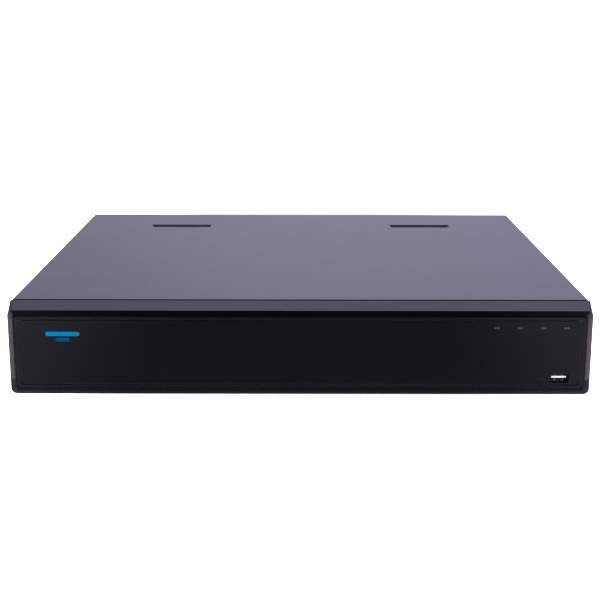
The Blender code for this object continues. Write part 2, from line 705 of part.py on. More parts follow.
def mains_pieces(looks):
    """The mains inlet with its three blades, and the rocker switch above it."""
    x, z = INLET
    flange_y = PANEL_OUT_Y + GAP
    shapes = [
        block((x - 0.0155, flange_y, z - 0.0120), (x + 0.0155, flange_y + 0.0020, z + 0.0120), 0.0006),
        block((x - 0.0138, 0.1700, z - 0.0098), (x + 0.0138, flange_y + 0.001, z + 0.0098)),
    ]
    right = [(0.0118, -0.0078), (0.0118, 0.0030), (0.0068, 0.0078)]
    mouth = [(x + across, z + up) for across, up in right]
    mouth += [(x - across, z + up) for across, up in reversed(right)]
    blades = []
    for shift, rise in ((-0.007, -0.002), (0.007, -0.002), (0.0, 0.002)):
        low = (x + shift - 0.0011, 0.171, z + rise - 0.002)
        blades.append(block(low, (x + shift + 0.0011, flange_y - 0.001, z + rise + 0.002)))
    solid("mains_inlet", looks["black"], shapes, [plate(mouth, "Y", 0.1735, flange_y + 0.003)], blades)

    x, z = SWITCH
    window = (0.0058, 0.0089)
    shapes = [
        block((x - 0.0078, flange_y, z - 0.0108), (x + 0.0078, flange_y + 0.0018, z + 0.0108), 0.0005),
        block((x - 0.0065, 0.1740, z - 0.0095), (x + 0.0065, flange_y + 0.001, z + 0.0095)),
    ]
    pivot_y = PANEL_OUT_Y - 0.0010
    cuts = [
        block((x - window[0], 0.1765, z - window[1]), (x + window[0], flange_y + 0.003, z + window[1])),
        rod((x - 0.0070, pivot_y, z), (x + 0.0070, pivot_y, z), 0.0011, 8),
    ]
    solid("switch_frame", looks["black"], shapes, cuts)
    rocker_switch(looks["black"])


def rocker_switch(surface):
    """The rocker, tilted to its off stop about a pivot that runs along X."""
    x, z = SWITCH
    pivot = Vector((x, PANEL_OUT_Y - 0.0010, z))
    half, tip, middle, root = 0.0079, 0.0042, 0.0022, -0.0010
    outline = [(tip, half), (middle, 0.0), (tip, -half), (root, -half), (-0.0060, 0.0), (root, half)]
    tilt = math.radians(-10)
    turned_outline = [
        (
            pivot.y + y * math.cos(tilt) - up * math.sin(tilt),
            pivot.z + y * math.sin(tilt) + up * math.cos(tilt),
        )
        for y, up in outline
    ]
    shapes = [plate(turned_outline, "X", x - 0.0054, x + 0.0054)]
    shapes.append(rod((x - 0.0062, pivot.y, z), (x + 0.0062, pivot.y, z), 0.0008, 8))
    return solid("rocker_switch", surface, shapes, origin=pivot)


# Fans


def fan(side, x, looks):
    """A 40 mm fan on the rear panel: a frame with its motor post, and a cup-shaped rotor with its blades."""
    back_y = BACK_Y_INSIDE
    front_y = back_y - FAN_DEPTH
    half = FAN_SIZE / 2
    frame = [block((x - half, front_y, FAN_Z - half), (x + half, back_y, FAN_Z + half), 0.0010)]
    low_y, high_y, hole = front_y - 0.001, back_y + 0.001, 0.016
    bore = [rod((x, low_y, FAN_Z), (x, high_y, FAN_Z), FAN_BORE, 24)]
    for corner_x in (x - hole, x + hole):
        for corner_z in (FAN_Z - hole, FAN_Z + hole):
            bore.append(rod((corner_x, low_y, corner_z), (corner_x, high_y, corner_z), 0.0017, 8))
    post_front = back_y - 0.0095
    bearing = [
        (0, back_y - 0.0018),
        (0.0014, back_y - 0.0018),
        (0.0014, post_front),
        (0.0070, post_front),
        (0.0070, back_y - 0.0008),
        (0, back_y - 0.0008),
    ]
    disc = rod((x, back_y - 0.0016, FAN_Z), (x, back_y, FAN_Z), 0.0105, 20)
    post = [disc, turned(bearing, (x, FAN_Z), steps=14)]
    for i in range(4):
        angle = math.radians(45 + 90 * i)
        reach = Vector((math.cos(angle), 0, math.sin(angle)))
        centre = Vector((x, back_y - 0.0010, FAN_Z))
        post.append(rod(centre + reach * 0.008, centre + reach * 0.0195, 0.0009, 6))
    solid(f"fan_frame_{side}", looks["black"], frame, bore, post)
    cup_front, cup_back = front_y + 0.0010, back_y - 0.0030
    cup = [
        (0, cup_front),
        (0.0108, cup_front),
        (0.0112, cup_front + 0.0010),
        (0.0112, cup_back),
        (0.0094, cup_back),
        (0.0094, cup_front + 0.0015),
        (0, cup_front + 0.0015),
    ]
    turns = [math.tau * i / FAN_BLADES for i in range(FAN_BLADES)]
    blades = [fan_blade(x, cup_front + 0.001, cup_back - 0.0005, turn) for turn in turns]
    shaft = rod((x, cup_front + 0.0005, FAN_Z), (x, back_y - 0.0028, FAN_Z), 0.0010, 8)
    rotor = [turned(cup, (x, FAN_Z), steps=20), shaft, *blades]
    solid(f"fan_rotor_{side}", looks["black"], rotor, origin=(x, (front_y + back_y) / 2, FAN_Z))


def fan_blade(x, front_y, back_y, start):
    """A twisted blade, lofted outwards from the hub."""
    rings = []
    chord, thick = 0.62, 0.07
    for radius, sweep in ((0.0105, 0.0), (0.0140, 0.10), (0.0180, 0.22)):
        first, last = start + sweep, start + sweep + chord
        section = ((first, front_y), (first + thick, front_y), (last, back_y), (last - thick, back_y))
        across = [(x + radius * math.cos(angle), FAN_Z + radius * math.sin(angle)) for angle, _ in section]
        rings.append([Vector((u, y, v)) for (u, v), (_, y) in zip(across, section)])
    return loft(rings)


# Boards and drives


def main_board(looks):
    (low_x, low_y), (high_x, high_y) = MAIN_BOARD
    shapes = [block((low_x, low_y, BOARD_Z), (high_x, high_y, BOARD_TOP))]
    chip_base = BOARD_TOP - PART_SINK
    for x, y, wide, deep, tall in (
        (0.090, 0.095, 0.034, 0.034, CHIP_TALL),
        (0.140, 0.080, 0.013, 0.011, 0.0012),
        (0.140, 0.100, 0.013, 0.011, 0.0012),
        (0.040, 0.090, 0.018, 0.018, 0.0015),
        (-0.010, 0.120, 0.012, 0.012, 0.0015),
    ):
        low = (x - wide / 2, y - deep / 2, chip_base)
        shapes.append(block(low, (x + wide / 2, y + deep / 2, BOARD_TOP + tall)))
    header_front, header_back = HEADER_YS
    for low, high in [(x - 0.0040, x + 0.0040) for x in DATA_HEADER_XS] + [(0.176, 0.192)]:
        shapes.append(block((low, header_front, chip_base), (high, header_back, HEADER_TOP)))
    shapes.append(block((-0.0690, 0.088, chip_base), (-0.0630, 0.112, HEADER_TOP)))
    shapes.append(block((-0.0690, 0.120, chip_base), (-0.0630, 0.140, 0.0200)))
    solid("main_board", looks["board"], shapes)
    processor_heatsink(looks["alloy"])
    wide, narrow, brim, top = 0.0110, 0.0100, SEAT_Z + 0.0022, SEAT_Z + 0.0052
    cell = [(0, SEAT_Z), (wide, SEAT_Z), (wide, brim), (narrow, brim), (narrow, top), (0, top)]
    solid("clock_battery", looks["nickel"], [turned(cell, (0.020, 0.140), "Z", 20)])


def processor_heatsink(surface):
    (low_x, front_y), (high_x, back_y) = HEATSINK
    base = BOARD_TOP + CHIP_TALL + GAP
    count, thick = 9, 0.0012
    pitch = (high_x - low_x - thick - 0.0012) / (count - 1)
    fins = [block((low_x, front_y, base), (high_x, back_y, base + 0.004))]
    for i in range(count):
        x = low_x + 0.0006 + i * pitch
        fins.append(block((x, front_y, base + 0.002), (x + thick, back_y, base + 0.018)))
    solid("processor_heatsink", surface, fins)


def power_supply(looks):
    (low_x, low_y), (high_x, high_y) = SUPPLY_BOARD
    base = BOARD_TOP - PART_SINK
    shapes = [
        block((low_x, low_y, BOARD_Z), (high_x, high_y, BOARD_TOP)),
        block((-0.200, 0.1380, base), (-0.176, 0.1460, 0.0270)),
        block((-0.1290, 0.090, base), (-0.1230, 0.112, HEADER_TOP)),
        block((-0.160, 0.0120, base), (-0.128, 0.0180, HEADER_TOP)),
        rod((-0.190, 0.108, base), (-0.190, 0.108, 0.0570), 0.0120, 20),
    ]
    solid("power_supply_board", looks["tan"], shapes)
    core = [
        block((-0.176, 0.060, SEAT_Z), (-0.142, 0.094, 0.0440), 0.0008),
        block((-0.179, 0.066, SEAT_Z + 0.006), (-0.139, 0.088, 0.0380), 0.0008),
    ]
    solid("power_transformer", looks["yellow"], core)
    fins = [
        block((-0.1310, 0.030, SEAT_Z), (-0.1285, 0.084, 0.0480)),
        block((-0.1370, 0.030, 0.0455), (-0.1225, 0.084, 0.0475)),
        block((-0.1370, 0.030, SEAT_Z + 0.010), (-0.1225, 0.084, SEAT_Z + 0.012)),
    ]
    solid("power_heatsink", looks["alloy"], fins)


def drives(looks):
    """Two cages side by side, each with two drives lying one above the other."""
    front_y = DRIVE_BACK_Y - DRIVE[1]
    for side, x in zip(("left", "right"), DRIVE_XS):
        drive_cage(f"drive_cage_{side}", x, front_y, looks["zinc"])
        for level, z in zip(("lower", "upper"), DRIVE_ZS):
            hard_drive(f"hard_drive_{side}_{level}", x, z, front_y, looks["alloy"])


def drive_cage(name, x, front_y, surface):
    """A folded U with a slotted wall each side of the drives and a foot flange outside each wall."""
    inner, base, flange = DRIVE[0] / 2 + GAP, FLOOR_TOP + GAP, 0.0065
    outer = inner + CAGE_SHEET
    walls = [block((x - outer, front_y, base), (x + outer, DRIVE_BACK_Y, base + CAGE_SHEET))]
    for way in (-1, 1):
        low_x, high_x = sorted((x + way * inner, x + way * outer))
        walls.append(block((low_x, front_y, base), (high_x, DRIVE_BACK_Y, CAGE_TOP)))
        low_x, high_x = sorted((x + way * inner, x + way * (inner + flange)))
        walls.append(block((low_x, front_y + 0.02, base), (high_x, DRIVE_BACK_Y - 0.02, base + CAGE_SHEET)))
    slots = []
    for z in DRIVE_ZS:
        for y in (front_y + 0.028, front_y + 0.073, front_y + 0.118):
            slots.append(block((x - 0.070, y - 0.006, z + 0.012), (x + 0.070, y + 0.006, z + 0.018)))
    return solid(name, surface, walls, slots)


def hard_drive(name, x, z, front_y, surface):
    """A 3.5-inch drive: base casting, raised lid and the opening for its plugs."""
    half, top = DRIVE[0] / 2, z + DRIVE[2]
    inset = half - 0.003
    body = [
        block((x - half, front_y, z), (x + half, DRIVE_BACK_Y, top - 0.0016), 0.0008),
        block((x - inset, front_y + 0.006, z), (x + inset, DRIVE_BACK_Y - 0.014, top)),
    ]
    plug_low = (x - 0.045, DRIVE_BACK_Y - 0.005, z + 0.0012)
    return solid(name, surface, body, [block(plug_low, (x - 0.004, DRIVE_BACK_Y + 0.001, z + 0.0070))])


def internal_leads(looks):
    """Leads clipped inside the case, each whole from end to end."""
    start_y, header_y = DRIVE_BACK_Y - 0.0045, HEADER_YS[0] - GAP
    routes = zip(
        [(x, z) for x in DRIVE_XS for z in DRIVE_ZS],
        DATA_HEADER_XS,
        (0.000, 0.012, 0.008, 0.002),
        (0.030, 0.044, 0.036, 0.050),
    )
    names = ("left_lower", "left_upper", "right_lower", "right_upper")
    for name, ((x, z), header_x, bow_y, bow_z) in zip(names, routes):
        begin_x, begin_z = x - 0.012, z + 0.0041
        points = [
            (begin_x, start_y, begin_z),
            (begin_x, DRIVE_BACK_Y + 0.010, begin_z),
            (begin_x + 0.35 * (header_x - begin_x), bow_y - 0.004, (begin_z + bow_z) / 2),
            (begin_x + 0.80 * (header_x - begin_x), bow_y + 0.012, 0.6 * bow_z + 0.4 * 0.019),
            (header_x, header_y - 0.009, 0.0190),
            (header_x, header_y, 0.0190),
        ]
        lead(f"data_lead_{name}", looks["data"], points, LEAD_RADIUS)
    supply_y = 0.0120 - GAP
    for side, x, end_x in (("left", -0.156, DRIVE_XS[0]), ("right", -0.132, DRIVE_XS[1])):
        high = DRIVE_ZS[1] + 0.0041
        points = [
            (x, supply_y, 0.0200),
            (x, supply_y - 0.006, 0.0200),
            (0.5 * (x + end_x - 0.034), DRIVE_BACK_Y + 0.022, 0.0600 if side == "right" else 0.0400),
            (end_x - 0.034, DRIVE_BACK_Y + 0.009, high),
            (end_x - 0.034, start_y, high),
        ]
        lead(f"drive_power_lead_{side}", looks["leads"], points, LEAD_RADIUS)
    lead(
        "indicator_board_lead",
        looks["leads"],
        [
            (0.161, FRONT_Y + 0.0162, 0.0360),
            (0.161, TRAY_FRONT_Y + 0.010, 0.0360),
            (0.176, TRAY_FRONT_Y + 0.032, 0.0180),
            (0.190, -0.120, 0.0110),
            (0.192, -0.040, 0.0105),
            (0.188, 0.012, 0.0140),
            (0.184, 0.032, 0.0200),
            (0.184, header_y, 0.0200),
        ],
        LEAD_RADIUS,
    )
    lead(
        "board_power_lead",
        looks["leads"],
        [
            (-0.1230 + GAP, 0.100, 0.0190),
            (-0.1160, 0.100, 0.0190),
            (-0.0960, 0.098, 0.0225),
            (-0.0760, 0.100, 0.0190),
            (-0.0690 - GAP, 0.100, 0.0190),
        ],
        0.0024,
    )
    lead(
        "inlet_lead",
        looks["leads"],
        [(-0.190, 0.1700 - GAP, 0.0190), (-0.190, 0.158, 0.0190), (-0.190, 0.1460 + GAP, 0.0190)],
        0.0022,
    )
    lead(
        "switch_lead",
        looks["leads"],
        [
            (SWITCH[0], 0.1740 - GAP, SWITCH[1]),
            (SWITCH[0], 0.168, SWITCH[1]),
            (SWITCH[0] + 0.006, 0.159, 0.0360),
            (SWITCH[0] + 0.009, 0.151, 0.0240),
            (SWITCH[0] + 0.009, 0.1460 + GAP, 0.0240),
        ],
        0.0022,
    )
    fan_front = BACK_Y_INSIDE - FAN_DEPTH
    for side, x, header_y in (("right", FAN_XS[0], 0.134), ("left", FAN_XS[1], 0.126)):
        lead(
            f"fan_lead_{side}",
            looks["leads"],
            [
                (x + 0.012, fan_front - GAP, FAN_Z - 0.0175),
                (x + 0.012, fan_front - 0.006, FAN_Z - 0.0175),
                (0.5 * (x + 0.013) + 0.5 * -0.080, 0.5 * (fan_front + header_y), 0.0110),
                (-0.0770, header_y, 0.0172),
                (-0.0690 - GAP, header_y, 0.0172),
            ],
            0.0012,
        )


def main():
    clear_scene()
    looks = {
        "paint": material("black_paint", (0.035, 0.034, 0.040), 0.45),
        "zinc": material("zinc_steel", (0.55, 0.56, 0.58), 0.35, 1.0),
        "bezel": material("bezel_plastic", (0.020, 0.019, 0.022), 0.30),
        "gloss": material("insert_gloss", (0.006, 0.006, 0.008), 0.10),
        "clear": material("light_pipe", (0.35, 0.40, 0.48), 0.20),
        "nickel": material("nickel", (0.70, 0.69, 0.66), 0.25, 1.0),
        "white": material("usb_tongue", (0.85, 0.85, 0.86), 0.40),
        "board": material("circuit_board", (0.02, 0.10, 0.05), 0.40),
        "tan": material("supply_board", (0.35, 0.26, 0.12), 0.50),
        "black": material("black_plastic", (0.015, 0.015, 0.016), 0.45),
        "green": material("terminal_green", (0.02, 0.28, 0.10), 0.40),
        "alloy": material("cast_alloy", (0.62, 0.63, 0.65), 0.40, 1.0),
        "rubber": material("foot_rubber", (0.020, 0.020, 0.020), 0.85),
        "yellow": material("transformer_tape", (0.70, 0.52, 0.06), 0.50),
        "data": material("data_lead", (0.45, 0.03, 0.03), 0.45),
        "leads": material("lead_sleeve", (0.03, 0.03, 0.03), 0.55),
    }
    chassis_tray(looks["zinc"])
    rear_panel(looks["paint"])
    top_cover(looks["paint"])
    for name, x in zip(("left", "middle", "right"), SCREW_XS):
        cover_screw(f"cover_screw_{name}", x, looks["nickel"])
    for side, x in zip(("left", "right"), FEET_XS):
        for end, y in zip(("front", "rear"), FEET_YS):
            foot(f"foot_{end}_{side}", x, y, looks["rubber"])
    front_pieces(looks)
    video_sockets("video_sockets_right", JACK_XS[:4], looks["nickel"])
    video_sockets("video_sockets_middle", JACK_XS[4:], looks["nickel"])
    audio_sockets(looks["black"])
    vga_socket(looks["nickel"])
    hdmi_socket(looks["nickel"])
    usb_stack(looks["nickel"])
    network_socket(looks["nickel"])
    terminal_pieces(looks)
    earth_screw(looks["nickel"])
    mains_pieces(looks)
    for side, x in zip(("right", "left"), FAN_XS):
        fan(side, x, looks)
    main_board(looks)
    power_supply(looks)
    drives(looks)
    internal_leads(looks)


main()
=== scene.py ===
"""Looks for the video recorder: finishes, small details, studio and camera. Lengths are in metres."""

import json
import math
import random

import bmesh
import bpy
from mathutils import Matrix, Vector


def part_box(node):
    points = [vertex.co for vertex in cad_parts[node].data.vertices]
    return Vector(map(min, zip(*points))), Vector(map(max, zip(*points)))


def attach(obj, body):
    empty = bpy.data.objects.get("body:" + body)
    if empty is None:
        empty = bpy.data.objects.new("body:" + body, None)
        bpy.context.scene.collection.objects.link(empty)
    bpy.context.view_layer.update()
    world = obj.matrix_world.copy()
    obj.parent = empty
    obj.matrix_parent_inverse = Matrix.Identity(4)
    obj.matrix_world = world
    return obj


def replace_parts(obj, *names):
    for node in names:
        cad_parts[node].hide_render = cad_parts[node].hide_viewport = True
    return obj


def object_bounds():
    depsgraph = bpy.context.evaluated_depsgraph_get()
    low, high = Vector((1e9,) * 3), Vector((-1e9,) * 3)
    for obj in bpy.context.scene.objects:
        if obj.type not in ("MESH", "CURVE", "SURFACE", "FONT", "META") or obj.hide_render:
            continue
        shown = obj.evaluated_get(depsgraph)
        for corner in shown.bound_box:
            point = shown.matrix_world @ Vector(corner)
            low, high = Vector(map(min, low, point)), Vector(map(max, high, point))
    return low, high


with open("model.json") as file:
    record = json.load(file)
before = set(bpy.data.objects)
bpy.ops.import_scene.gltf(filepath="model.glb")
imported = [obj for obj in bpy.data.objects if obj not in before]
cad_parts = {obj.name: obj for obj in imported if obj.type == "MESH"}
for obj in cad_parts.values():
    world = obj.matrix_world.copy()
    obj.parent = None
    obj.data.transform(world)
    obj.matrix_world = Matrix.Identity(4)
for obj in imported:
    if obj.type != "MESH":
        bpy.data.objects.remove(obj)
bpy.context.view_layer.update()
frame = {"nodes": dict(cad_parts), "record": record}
NODES = frame["nodes"]

# Camera: a long lens in front of the case and above it
CAMERA_PLACE = (0.0006, -1.0784, 0.2932)
CAMERA_PITCH, CAMERA_YAW, CAMERA_ROLL = 13.756, 0.049, 0.081
CAMERA_LENS, SENSOR = 72.5, 36.0


# Materials

PLASTIC_RELIEF = 0.000004


def set_inputs(node, values):
    """Fixed values of a node's inputs, by name."""
    for name, value in values.items():
        node.inputs[name].default_value = value


def link_noise(tree, vector, scale, detail=3.0, roughness=0.5):
    """Noise over a surface."""
    noise = tree.nodes.new("ShaderNodeTexNoise")
    set_inputs(noise, {"Scale": scale, "Detail": detail, "Roughness": roughness})
    tree.links.new(vector, noise.inputs["Vector"])
    return noise.outputs["Fac"]


def link_range(tree, value, low, high, from_low=0.3, from_high=0.7, smooth=False):
    """A value spread from one range to another."""
    spread = tree.nodes.new("ShaderNodeMapRange")
    if smooth:
        spread.interpolation_type = "SMOOTHSTEP"
    set_inputs(spread, {"From Min": from_low, "From Max": from_high, "To Min": low, "To Max": high})
    tree.links.new(value, spread.inputs["Value"])
    return spread.outputs["Result"]


def link_math(tree, operation, *values):
    """A sum or another operation on the values of other nodes."""
    node = tree.nodes.new("ShaderNodeMath")
    node.operation = operation
    for value, entry in zip(values, node.inputs):
        tree.links.new(value, entry)
    return node.outputs["Value"]


def link_mix(tree, factor, first, second):
    """A colour between two others, each of which is a plain colour or another node's."""
    mix = tree.nodes.new("ShaderNodeMix")
    mix.data_type = "RGBA"
    for entry, colour in (("A", first), ("B", second)):
        if isinstance(colour, tuple):
            mix.inputs[entry].default_value = (*colour, 1.0)
        else:
            tree.links.new(colour, mix.inputs[entry])
    tree.links.new(factor, mix.inputs["Factor"])
    return mix.outputs["Result"]


def object_axis(tree, axis):
    """The distance along one of the object's own axes."""
    split = tree.nodes.new("ShaderNodeSeparateXYZ")
    tree.links.new(tree.nodes.new("ShaderNodeTexCoord").outputs["Object"], split.inputs["Vector"])
    return split.outputs[axis]


def surface(
    name, colour, roughness, metallic=0.0, specular=0.5, mottle=0.1, spread=0.05,
    grain=1400.0, relief=0.00002, stretch=(1.0, 1.0, 1.0), tint=None,
):
    """A Principled finish whose colour, roughness and height vary with noise at two scales."""
    made = bpy.data.materials.new(name)
    made.use_nodes = True
    tree = made.node_tree
    shader = tree.nodes["Principled BSDF"]
    set_inputs(shader, {"Metallic": metallic, "Specular IOR Level": specular})
    if tint:
        shader.inputs["Specular Tint"].default_value = (*tint, 1.0)
    place = tree.nodes.new("ShaderNodeTexCoord").outputs["Object"]
    if stretch != (1.0, 1.0, 1.0):
        mapping = tree.nodes.new("ShaderNodeMapping")
        mapping.inputs["Scale"].default_value = stretch
        tree.links.new(place, mapping.inputs["Vector"])
        place = mapping.outputs["Vector"]
    broad = link_range(tree, link_noise(tree, place, 28.0), 0.0, 1.0)
    fine = link_noise(tree, place, grain, 4.0, 0.6)
    darker = tuple(part * (1 - mottle) for part in colour)
    lighter = tuple(min(1.0, part * (1 + mottle)) for part in colour)
    tree.links.new(link_mix(tree, broad, darker, lighter), shader.inputs["Base Color"])
    rough = link_range(tree, fine, max(0.02, roughness - spread), roughness + spread)
    tree.links.new(rough, shader.inputs["Roughness"])
    if relief:
        bump = tree.nodes.new("ShaderNodeBump")
        set_inputs(bump, {"Strength": 1.0, "Distance": relief})
        tree.links.new(fine, bump.inputs["Height"])
        tree.links.new(bump.outputs["Normal"], shader.inputs["Normal"])
    return made


def flank_look():
    """The ring's flanks: satin and a little warm, a lighter copy of the bezel plastic that is a painted
    reflection of the bright floor at the sides, and darker where they turn into the bezel's foot, a
    painted shade where that reflection ends.
    """
    foot_shade_colour, step_low, step_high = (0.011, 0.0105, 0.013), 0.0172, 0.0178
    made = surface("bezel_flank_painted_reflection", (0.051, 0.041, 0.0462), 0.3, specular=0.008, relief=PLASTIC_RELIEF)
    tree = made.node_tree
    base_colour = tree.nodes["Principled BSDF"].inputs["Base Color"]
    warm = base_colour.links[0].from_socket
    # Painted shade: below this step in height the flank takes the darker foot colour, where the painted
    # reflection stops.
    above_foot = link_range(tree, object_axis(tree, "Z"), 0.0, 1.0, step_low, step_high)
    tree.links.new(link_mix(tree, above_foot, foot_shade_colour, warm), base_colour)
    return made


def make_looks():
    """Every finish: base colour, roughness, then metallic where it is a metal."""
    violet, pale_violet = (0.86, 0.84, 1.0), (0.93, 0.91, 1.0)
    plastic, even = {"relief": PLASTIC_RELIEF}, {"relief": 0.0}
    shell, slope = {"tint": pale_violet, **plastic}, {"tint": violet, "relief": 0.000006}
    acrylic = {"specular": 0.085, "spread": 0.02, "tint": pale_violet, **even}
    return {
        "paint": surface("powder_coat", (0.026, 0.025, 0.033), 0.36, tint=violet, relief=0.00004),
        "zinc": surface("zinc_plate", (0.52, 0.53, 0.55), 0.32, 1.0, grain=500.0, mottle=0.18),
        "bezel": surface("bezel_plastic", (0.0024, 0.0022, 0.0034), 0.15, specular=0.09, **shell),
        # Lit and shaded copies of the bezel plastic: the flank's lighter colour is a painted reflection,
        # the sill's weak reflection is painted shade, and the groove's lighter colour and the slope's
        # lighter colour and strong reflection are painted highlights.
        "flank": flank_look(),
        "sill": surface("bezel_sill_painted_shade", (0.0045, 0.0042, 0.0064), 0.3, specular=0.01, **plastic),
        "groove": surface("bezel_groove_painted_light", (0.052, 0.05, 0.06), 0.3, specular=0.06, **plastic),
        # A lighter copy of the powder coat: painted highlight on the upright walls of the cover's thumb
        # recesses.
        "recess": surface("recess_wall_painted_highlight", (0.07, 0.067, 0.073), 0.4, specular=0.3, relief=0.00004),
        "slope": surface("bezel_slope_painted_highlight", (0.006, 0.006, 0.008), 0.22, specular=0.42, **slope),
        "gloss": surface("insert_acrylic", (0.0006, 0.0006, 0.0014), 0.1, **acrylic),
        "clear": surface("light_pipe", (0.016, 0.024, 0.042), 0.35, specular=0.2),
        "nickel": surface("nickel_plate", (0.62, 0.6, 0.56), 0.24, 1.0, grain=900.0),
        "old_gold": surface("spring_plate", (0.46, 0.3, 0.15), 0.4, 1.0),
        "gold": surface("gold_plate", (0.83, 0.58, 0.22), 0.25, 1.0),
        # Near-black brown metal: painted shade inside the front USB socket.
        "shell_painted_shade": surface("socket_shell_painted_shade", (0.026, 0.013, 0.006), 0.45, 1.0),
        "white": surface("white_insulator", (0.86, 0.86, 0.87), 0.35),
        "board": surface("solder_mask", (0.01, 0.085, 0.035), 0.3),
        "tan": surface("phenolic_board", (0.28, 0.19, 0.08), 0.45),
        "black": surface("black_plastic", (0.012, 0.012, 0.013), 0.42, relief=0.00003),
        "green": surface("terminal_plastic", (0.01, 0.22, 0.07), 0.35),
        "blue": surface("socket_blue", (0.01, 0.05, 0.3), 0.35),
        "alloy": surface("cast_aluminium", (0.6, 0.61, 0.63), 0.38, 1.0, relief=0.00003),
        "rubber": surface("foot_rubber", (0.016, 0.016, 0.016), 0.8, specular=0.3),
        "tape": surface("transformer_tape", (0.65, 0.45, 0.04), 0.4),
        "data": surface("data_sleeve", (0.38, 0.02, 0.02), 0.4),
        "leads": surface("lead_sleeve", (0.02, 0.02, 0.02), 0.5),
        "print": surface("white_print", (0.62, 0.62, 0.63), 0.5, **even),
        "ghost": surface("ghost_print", (0.005, 0.0045, 0.0062), 0.5, specular=0.1, **even),
        "faint": surface("faint_print", (0.0105, 0.01, 0.011), 0.5, specular=0.1, **even),
        "mark_bright": surface("print_bright_blue", (0.0, 0.17, 0.32), 0.45, specular=0.0, **even),
        "mark_dark": surface("print_dark_blue", (0.0, 0.068, 0.13), 0.45, specular=0.0, **even),
        "label": surface("blank_label", (0.7, 0.7, 0.69), 0.5, relief=0.000005),
        "copper": surface("copper_wire", (0.55, 0.22, 0.08), 0.3, 1.0),
        "ceramic": surface("ceramic_blue", (0.03, 0.12, 0.38), 0.4),
        "can": surface("capacitor_sleeve", (0.015, 0.018, 0.03), 0.35),
        "amber": surface("amber_lens", (0.6, 0.26, 0.02), 0.25),
        "lime": surface("green_lens", (0.1, 0.5, 0.08), 0.25),
        "red": surface("red_wire", (0.45, 0.02, 0.02), 0.42),
        "yellow": surface("yellow_wire", (0.65, 0.48, 0.03), 0.42),
        "trace": surface("board_trace", (0.02, 0.15, 0.06), 0.35, **even),
        "lid": surface("drive_lid", (0.62, 0.63, 0.65), 0.24, 1.0, grain=260.0, stretch=(1.0, 24.0, 1.0)),
        # Near-black and dull: painted shade in the seam between the bezel and the cover.
        "seam_shade": surface("seam_shade_strip", (0.003, 0.0028, 0.004), 0.9, specular=0.05),
    }


LOOKS = make_looks()
SLOT_LOOKS = {
    "cover_paint": "paint",
    "zinc_steel": "zinc",
    "bezel_plastic": "bezel",
    "insert_gloss": "gloss",
    "light_pipe": "clear",
    "nickel": "nickel",
    "white_plastic": "white",
    "circuit_board": "board",
    "supply_board": "tan",
    "black_plastic": "black",
    "green_plastic": "green",
    "cast_alloy": "alloy",
    "foot_rubber": "rubber",
    "transformer_tape": "tape",
    "data_lead": "data",
    "lead_sleeve": "leads",
}


NODE_EDGE = 0.00018
PIECE_EDGE = 0.00008


def round_edges(made, width):
    """A fine bevel on sharp edges, so that they catch the light."""
    bevel = made.modifiers.new("edges", "BEVEL")
    bevel.width = width
    bevel.segments = 2
    bevel.limit_method = "ANGLE"
    bevel.angle_limit = math.radians(40)
    bevel.harden_normals = True


def dress_nodes():
    """Each CAD node gets its slot's finish and finely rounded edges."""
    slots = {entry["node"]: entry["material_slot"] for entry in frame["record"]["subparts"]}
    for name, node in NODES.items():
        node.data.materials.clear()
        node.data.materials.append(LOOKS[SLOT_LOOKS[slots[name]]])
        node.data.shade_smooth()
        node.data.set_sharp_from_angle(angle=math.radians(22 if name == "front_bezel" else 30))
        if "lead" not in name:
            round_edges(node, NODE_EDGE)


def dress_faces(node, choices):
    """Some faces of a CAD node get a finish of their own, chosen by their centre and normal."""
    data = NODES[node].data
    for look, chosen in choices:
        data.materials.append(LOOKS[look])
        for face in data.polygons:
            if chosen(face.center, face.normal):
                face.material_index = len(data.materials) - 1


def dress_cover():
    """The upright rear walls of the thumb recesses catch more light than the paint round them: they get a
    lighter copy of the paint, a painted highlight.
    """
    front, back, low = 0.1, 0.16, 0.073

    def in_recess(at, way):
        return way.y < -0.5 and front < at.y < back and at.z > low

    dress_faces("top_cover", (("recess", in_recess),))


def dress_bezel():
    """The bezel's underside, sloped top strip, flanks and groove get lit and shaded copies of the ring's
    plastic, chosen by where each face points: painted shade on the underside, painted highlights on the
    sloped top strip and in the groove, and a painted reflection on the flanks.
    """
    ring_back, ring_side = -0.2008, 0.215
    groove_side, groove_low, groove_high = 0.2151, 0.0098, 0.0661
    groove_front, groove_back, face_back = -0.2054, -0.2012, -0.204

    def in_groove(at, way):
        inside = abs(at.x) < groove_side and groove_low < at.z < groove_high
        on_face = way.y < -0.5 and at.y < face_back
        return inside and groove_front < at.y < groove_back and not on_face

    dress_faces(
        "front_bezel",
        (
            ("sill", lambda at, way: way.z < -0.2),
            ("flank", lambda at, way: abs(way.x) > 0.25 and abs(at.x) > ring_side and way.z > -0.7),
            ("slope", lambda at, way: way.z > 0.5 and at.y > ring_back),
            ("groove", in_groove),
        ),
    )


# Shapes


def block(low, high):
    """A box between two corners."""

    def add(mesh):
        low_corner, high_corner = Vector(low), Vector(high)
        place = Matrix.LocRotScale((low_corner + high_corner) / 2, None, high_corner - low_corner)
        bmesh.ops.create_cube(mesh, size=1.0, matrix=place)

    return add


def rod(start, end, radius, sides=16, end_radius=None):
    """A cylinder between two points, or a cone where its end has a radius of its own."""

    def add(mesh):
        along = Vector(end) - Vector(start)
        turn = Vector((0, 0, 1)).rotation_difference(along)
        bmesh.ops.create_cone(
            mesh,
            cap_ends=True,
            segments=sides,
            radius1=radius,
            radius2=radius if end_radius is None else end_radius,
            depth=along.length,
            matrix=Matrix.LocRotScale((Vector(start) + Vector(end)) / 2, turn, None),
        )

    return add


def spaced(count, pitch):
    """Evenly spaced places round zero."""
    return [pitch * (i - (count - 1) / 2) for i in range(count)]


